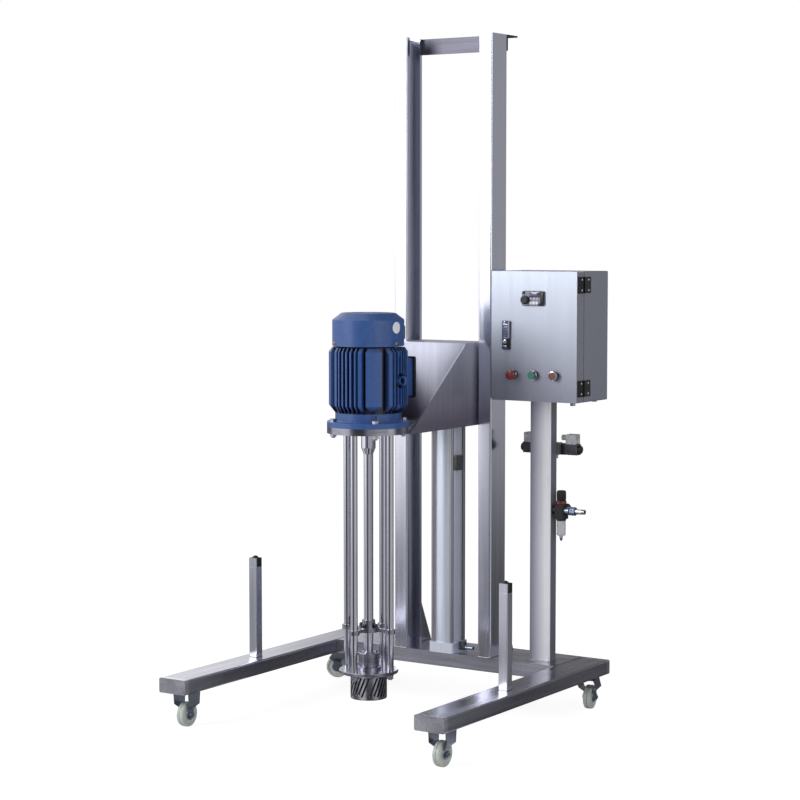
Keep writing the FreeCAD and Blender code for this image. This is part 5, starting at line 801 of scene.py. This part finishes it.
# Brightness that bare metal mirrors, by compass degrees, as soft boxes and flags would give: the walls
# and sky, the far floor, the floor around the machine, and the floor close by
STUDIO_WALL = ((-180, 1.25), (-137, 1.25), (-132, 1.36), (-112, 1.36), (-106, 0.14), (-70, 0.12),
               (-60, 0.50), (-4, 0.46), (2, 1.10), (18, 1.10), (24, 0.14), (46, 0.18), (51, 0.38),
               (66, 0.38), (72, 0.18), (122, 0.20), (127.5, 1.36), (180, 1.25))
STUDIO_FAR = ((-180, 0.15), (-174, 0.95), (-137, 1.25), (-132, 1.36), (-112, 1.36), (-106, 0.10),
              (-66, 0.08), (-60, 0.50), (-4, 0.46), (2, 1.00), (18, 1.00), (24, 0.10), (46, 0.14),
              (51, 0.38), (66, 0.38), (72, 0.14), (122, 0.12), (180, 0.15))
STUDIO_FLOOR = ((-180, 0.12), (-174, 0.85), (-154, 0.85), (-145, 0.36), (-117, 0.33), (-112, 0.70),
                (-105, 0.70), (-99, 0.04), (-66, 0.04), (-58, 0.44), (-4, 0.42), (2, 0.85), (18, 0.85),
                (24, 0.05), (30, 0.05), (34, 0.15), (50, 0.19), (54, 0.09), (66, 0.09), (119, 0.08),
                (180, 0.12))
STUDIO_NEAR = ((-180, 0.10), (-172, 0.60), (-158, 0.50), (-146, 0.16), (-118, 0.16), (-96, 0.80),
               (-80, 0.80), (-70, 0.05), (-44, 0.05), (-34, 0.50), (-14, 0.50), (-4, 0.06), (14, 0.08),
               (40, 0.12), (66, 0.12), (119, 0.10), (180, 0.10))


def around(tree, direction, stops):
    """Brightness by compass direction: a ramp over the angle of X and Y, in degrees, up to 1.5."""
    split = add(tree, "ShaderNodeSeparateXYZ", links={"Vector": direction})
    angle = add(tree, "ShaderNodeMath", links={0: split.outputs["Y"], 1: split.outputs["X"]},
                operation="ARCTAN2")
    share = add(tree, "ShaderNodeMapRange", {"From Min": -math.pi, "From Max": math.pi},
                {"Value": angle.outputs["Value"]})
    ramp = add(tree, "ShaderNodeValToRGB", links={"Fac": share.outputs["Result"]})
    marks = ramp.color_ramp.elements
    marks.remove(marks[1])
    for count, (degrees, level) in enumerate(stops):
        mark = marks[0] if count == 0 else marks.new((degrees + 180.0) / 360.0)
        mark.position = (degrees + 180.0) / 360.0
        mark.color = (level / 1.5, level / 1.5, level / 1.5, 1.0)
    scaled = add(tree, "ShaderNodeMath", {1: 1.5}, {0: ramp.outputs["Color"]}, operation="MULTIPLY")
    return scaled.outputs["Value"]


class MIXER_OT_stage(bpy.types.Operator):
    """Set the pale floor, the lamps, the sky and the camera."""
    bl_idname = "mixer.stage"
    bl_label = "Stage"

    def execute(self, context):
        view = context.scene.mixer_view
        mesh = bpy.data.meshes.new("studio_floor")
        corners = [(FLOOR_REACH * x, FLOOR_REACH * y, 0) for x, y in ((-1, -1), (1, -1), (1, 1), (-1, 1))]
        mesh.from_pydata(corners, [], [(0, 1, 2, 3)])
        floor = bpy.data.objects.new("studio_floor", mesh)
        context.scene.collection.objects.link(floor)
        # Matt white floor that keeps the shadow, under a white glow for the camera. Metal sees its strips.
        mat = bpy.data.materials.new("pale_floor")
        mat.use_nodes = True
        tree = mat.node_tree
        tree.nodes.clear()
        path = add(tree, "ShaderNodeLightPath")
        glossy = path.outputs["Is Glossy Ray"]
        seen = add(tree, "ShaderNodeMath", {1: FLOOR_GLOW_SHARE}, {0: path.outputs["Is Camera Ray"]},
                   operation="MULTIPLY")
        for ray in (glossy, path.outputs["Is Transmission Ray"]):
            seen = add(tree, "ShaderNodeMath", links={0: seen.outputs["Value"], 1: ray},
                       operation="MAXIMUM")
        place = add(tree, "ShaderNodeTexCoord").outputs["Object"]
        far = add(tree, "ShaderNodeVectorMath", links={0: place}, operation="LENGTH").outputs["Value"]
        shine = around(tree, place, STUDIO_NEAR)
        for stops, start, end in ((STUDIO_FLOOR, 0.9, 1.2), (STUDIO_FAR, 2.6, 10.0)):
            leaving = add(tree, "ShaderNodeMapRange", {"From Min": start, "From Max": end}, {"Value": far})
            shine = add(tree, "ShaderNodeMix", links={FACTOR: leaving.outputs["Result"], LOW: shine,
                                                      HIGH: around(tree, place, stops)}).outputs[NUMBER]
        power = add(tree, "ShaderNodeMix", {LOW: FLOOR_GLOW}, {FACTOR: glossy, HIGH: shine})
        matt = add(tree, "ShaderNodeBsdfDiffuse", {"Color": (0.9, 0.9, 0.9, 1.0)})
        glow = add(tree, "ShaderNodeEmission", {"Color": WHITE}, {"Strength": power.outputs[NUMBER]})
        both = add(tree, "ShaderNodeMixShader", links={0: seen.outputs["Value"], 1: matt.outputs["BSDF"],
                                                       2: glow.outputs["Emission"]})
        add(tree, "ShaderNodeOutputMaterial", links={"Surface": both.outputs["Shader"]})
        mesh.materials.append(mat)

        # White sky for the camera and through clear plastic, soft light for the rest, strips for metal.
        world = bpy.data.worlds.new("studio")
        context.scene.world = world
        world.use_nodes = True
        tree = world.node_tree
        tree.nodes.clear()
        path = add(tree, "ShaderNodeLightPath")
        seen = add(tree, "ShaderNodeMath", links={0: path.outputs["Is Camera Ray"],
                                                  1: path.outputs["Is Transmission Ray"]},
                   operation="MAXIMUM")
        place = add(tree, "ShaderNodeTexCoord").outputs["Generated"]
        shine = add(tree, "ShaderNodeMix", {LOW: view.sky}, {FACTOR: path.outputs["Is Glossy Ray"],
                                                            HIGH: around(tree, place, STUDIO_WALL)})
        power = add(tree, "ShaderNodeMix", {HIGH: 1.0}, {FACTOR: seen.outputs["Value"],
                                                        LOW: shine.outputs[NUMBER]})
        back = add(tree, "ShaderNodeBackground", {"Color": WHITE}, {"Strength": power.outputs[NUMBER]})
        add(tree, "ShaderNodeOutputWorld", links={"Surface": back.outputs["Background"]})

        for name, power, size, spot, (tilt, heading) in (
                ("key_lamp", view.key_power, 2.4, (-2.8, -4.6, 2.8), (66, -32)),
                ("fill_lamp", view.fill_power, 2.6, (4.6, -1.8, 2.2), (74, 68))):
            data = bpy.data.lights.new(name, "AREA")
            data.energy = power
            data.size = size
            lamp = bpy.data.objects.new(name, data)
            lamp.location = spot
            lamp.rotation_euler = Euler((math.radians(tilt), 0.0, math.radians(heading)))
            context.scene.collection.objects.link(lamp)

        data = bpy.data.cameras.new("camera")
        data.sensor_width = 36.0
        data.lens = view.lens
        data.shift_x, data.shift_y = view.shift
        data.clip_end = 100.0
        camera = bpy.data.objects.new("camera", data)
        camera.location = view.eye
        camera.rotation_euler = Euler(view.turn)
        context.scene.collection.objects.link(camera)
        context.scene.camera = camera
        context.scene.view_settings.view_transform = "Standard"
        return {"FINISHED"}


STEPS = (MIXER_OT_finishes, MIXER_OT_welds, MIXER_OT_castors, MIXER_OT_cylinder_parts,
         MIXER_OT_motor_parts, MIXER_OT_cabinet_parts, MIXER_OT_air_parts, MIXER_OT_stage)


class MIXER_PT_sidebar(bpy.types.Panel):
    """Lists the sizes, colours and steps of the mixer in the sidebar."""
    bl_label = "High Shear Mixer"
    bl_idname = "MIXER_PT_sidebar"
    bl_space_type = "VIEW_3D"
    bl_region_type = "UI"
    bl_category = "Mixer"

    def draw(self, context):
        scene = context.scene
        for group in (scene.mixer_sizes, scene.mixer_colours, scene.mixer_view):
            for key in group.__annotations__:
                self.layout.prop(group, key)
        for step in STEPS:
            self.layout.operator(step.bl_idname)


CLASSES = (MIXER_PG_sizes, MIXER_PG_colours, MIXER_PG_view) + STEPS + (MIXER_PT_sidebar,)


def register():
    for entry in CLASSES:
        bpy.utils.register_class(entry)
    bpy.types.Scene.mixer_sizes = PointerProperty(type=MIXER_PG_sizes)
    bpy.types.Scene.mixer_colours = PointerProperty(type=MIXER_PG_colours)
    bpy.types.Scene.mixer_view = PointerProperty(type=MIXER_PG_view)


def unregister():
    del bpy.types.Scene.mixer_view
    del bpy.types.Scene.mixer_colours
    del bpy.types.Scene.mixer_sizes
    for entry in reversed(CLASSES):
        bpy.utils.unregister_class(entry)


def main():
    """Register the add-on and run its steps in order."""
    register()
    for step in STEPS:
        prefix, name = step.bl_idname.split(".")
        getattr(getattr(bpy.ops, prefix), name)()


if __name__ == "__main__":
    main()
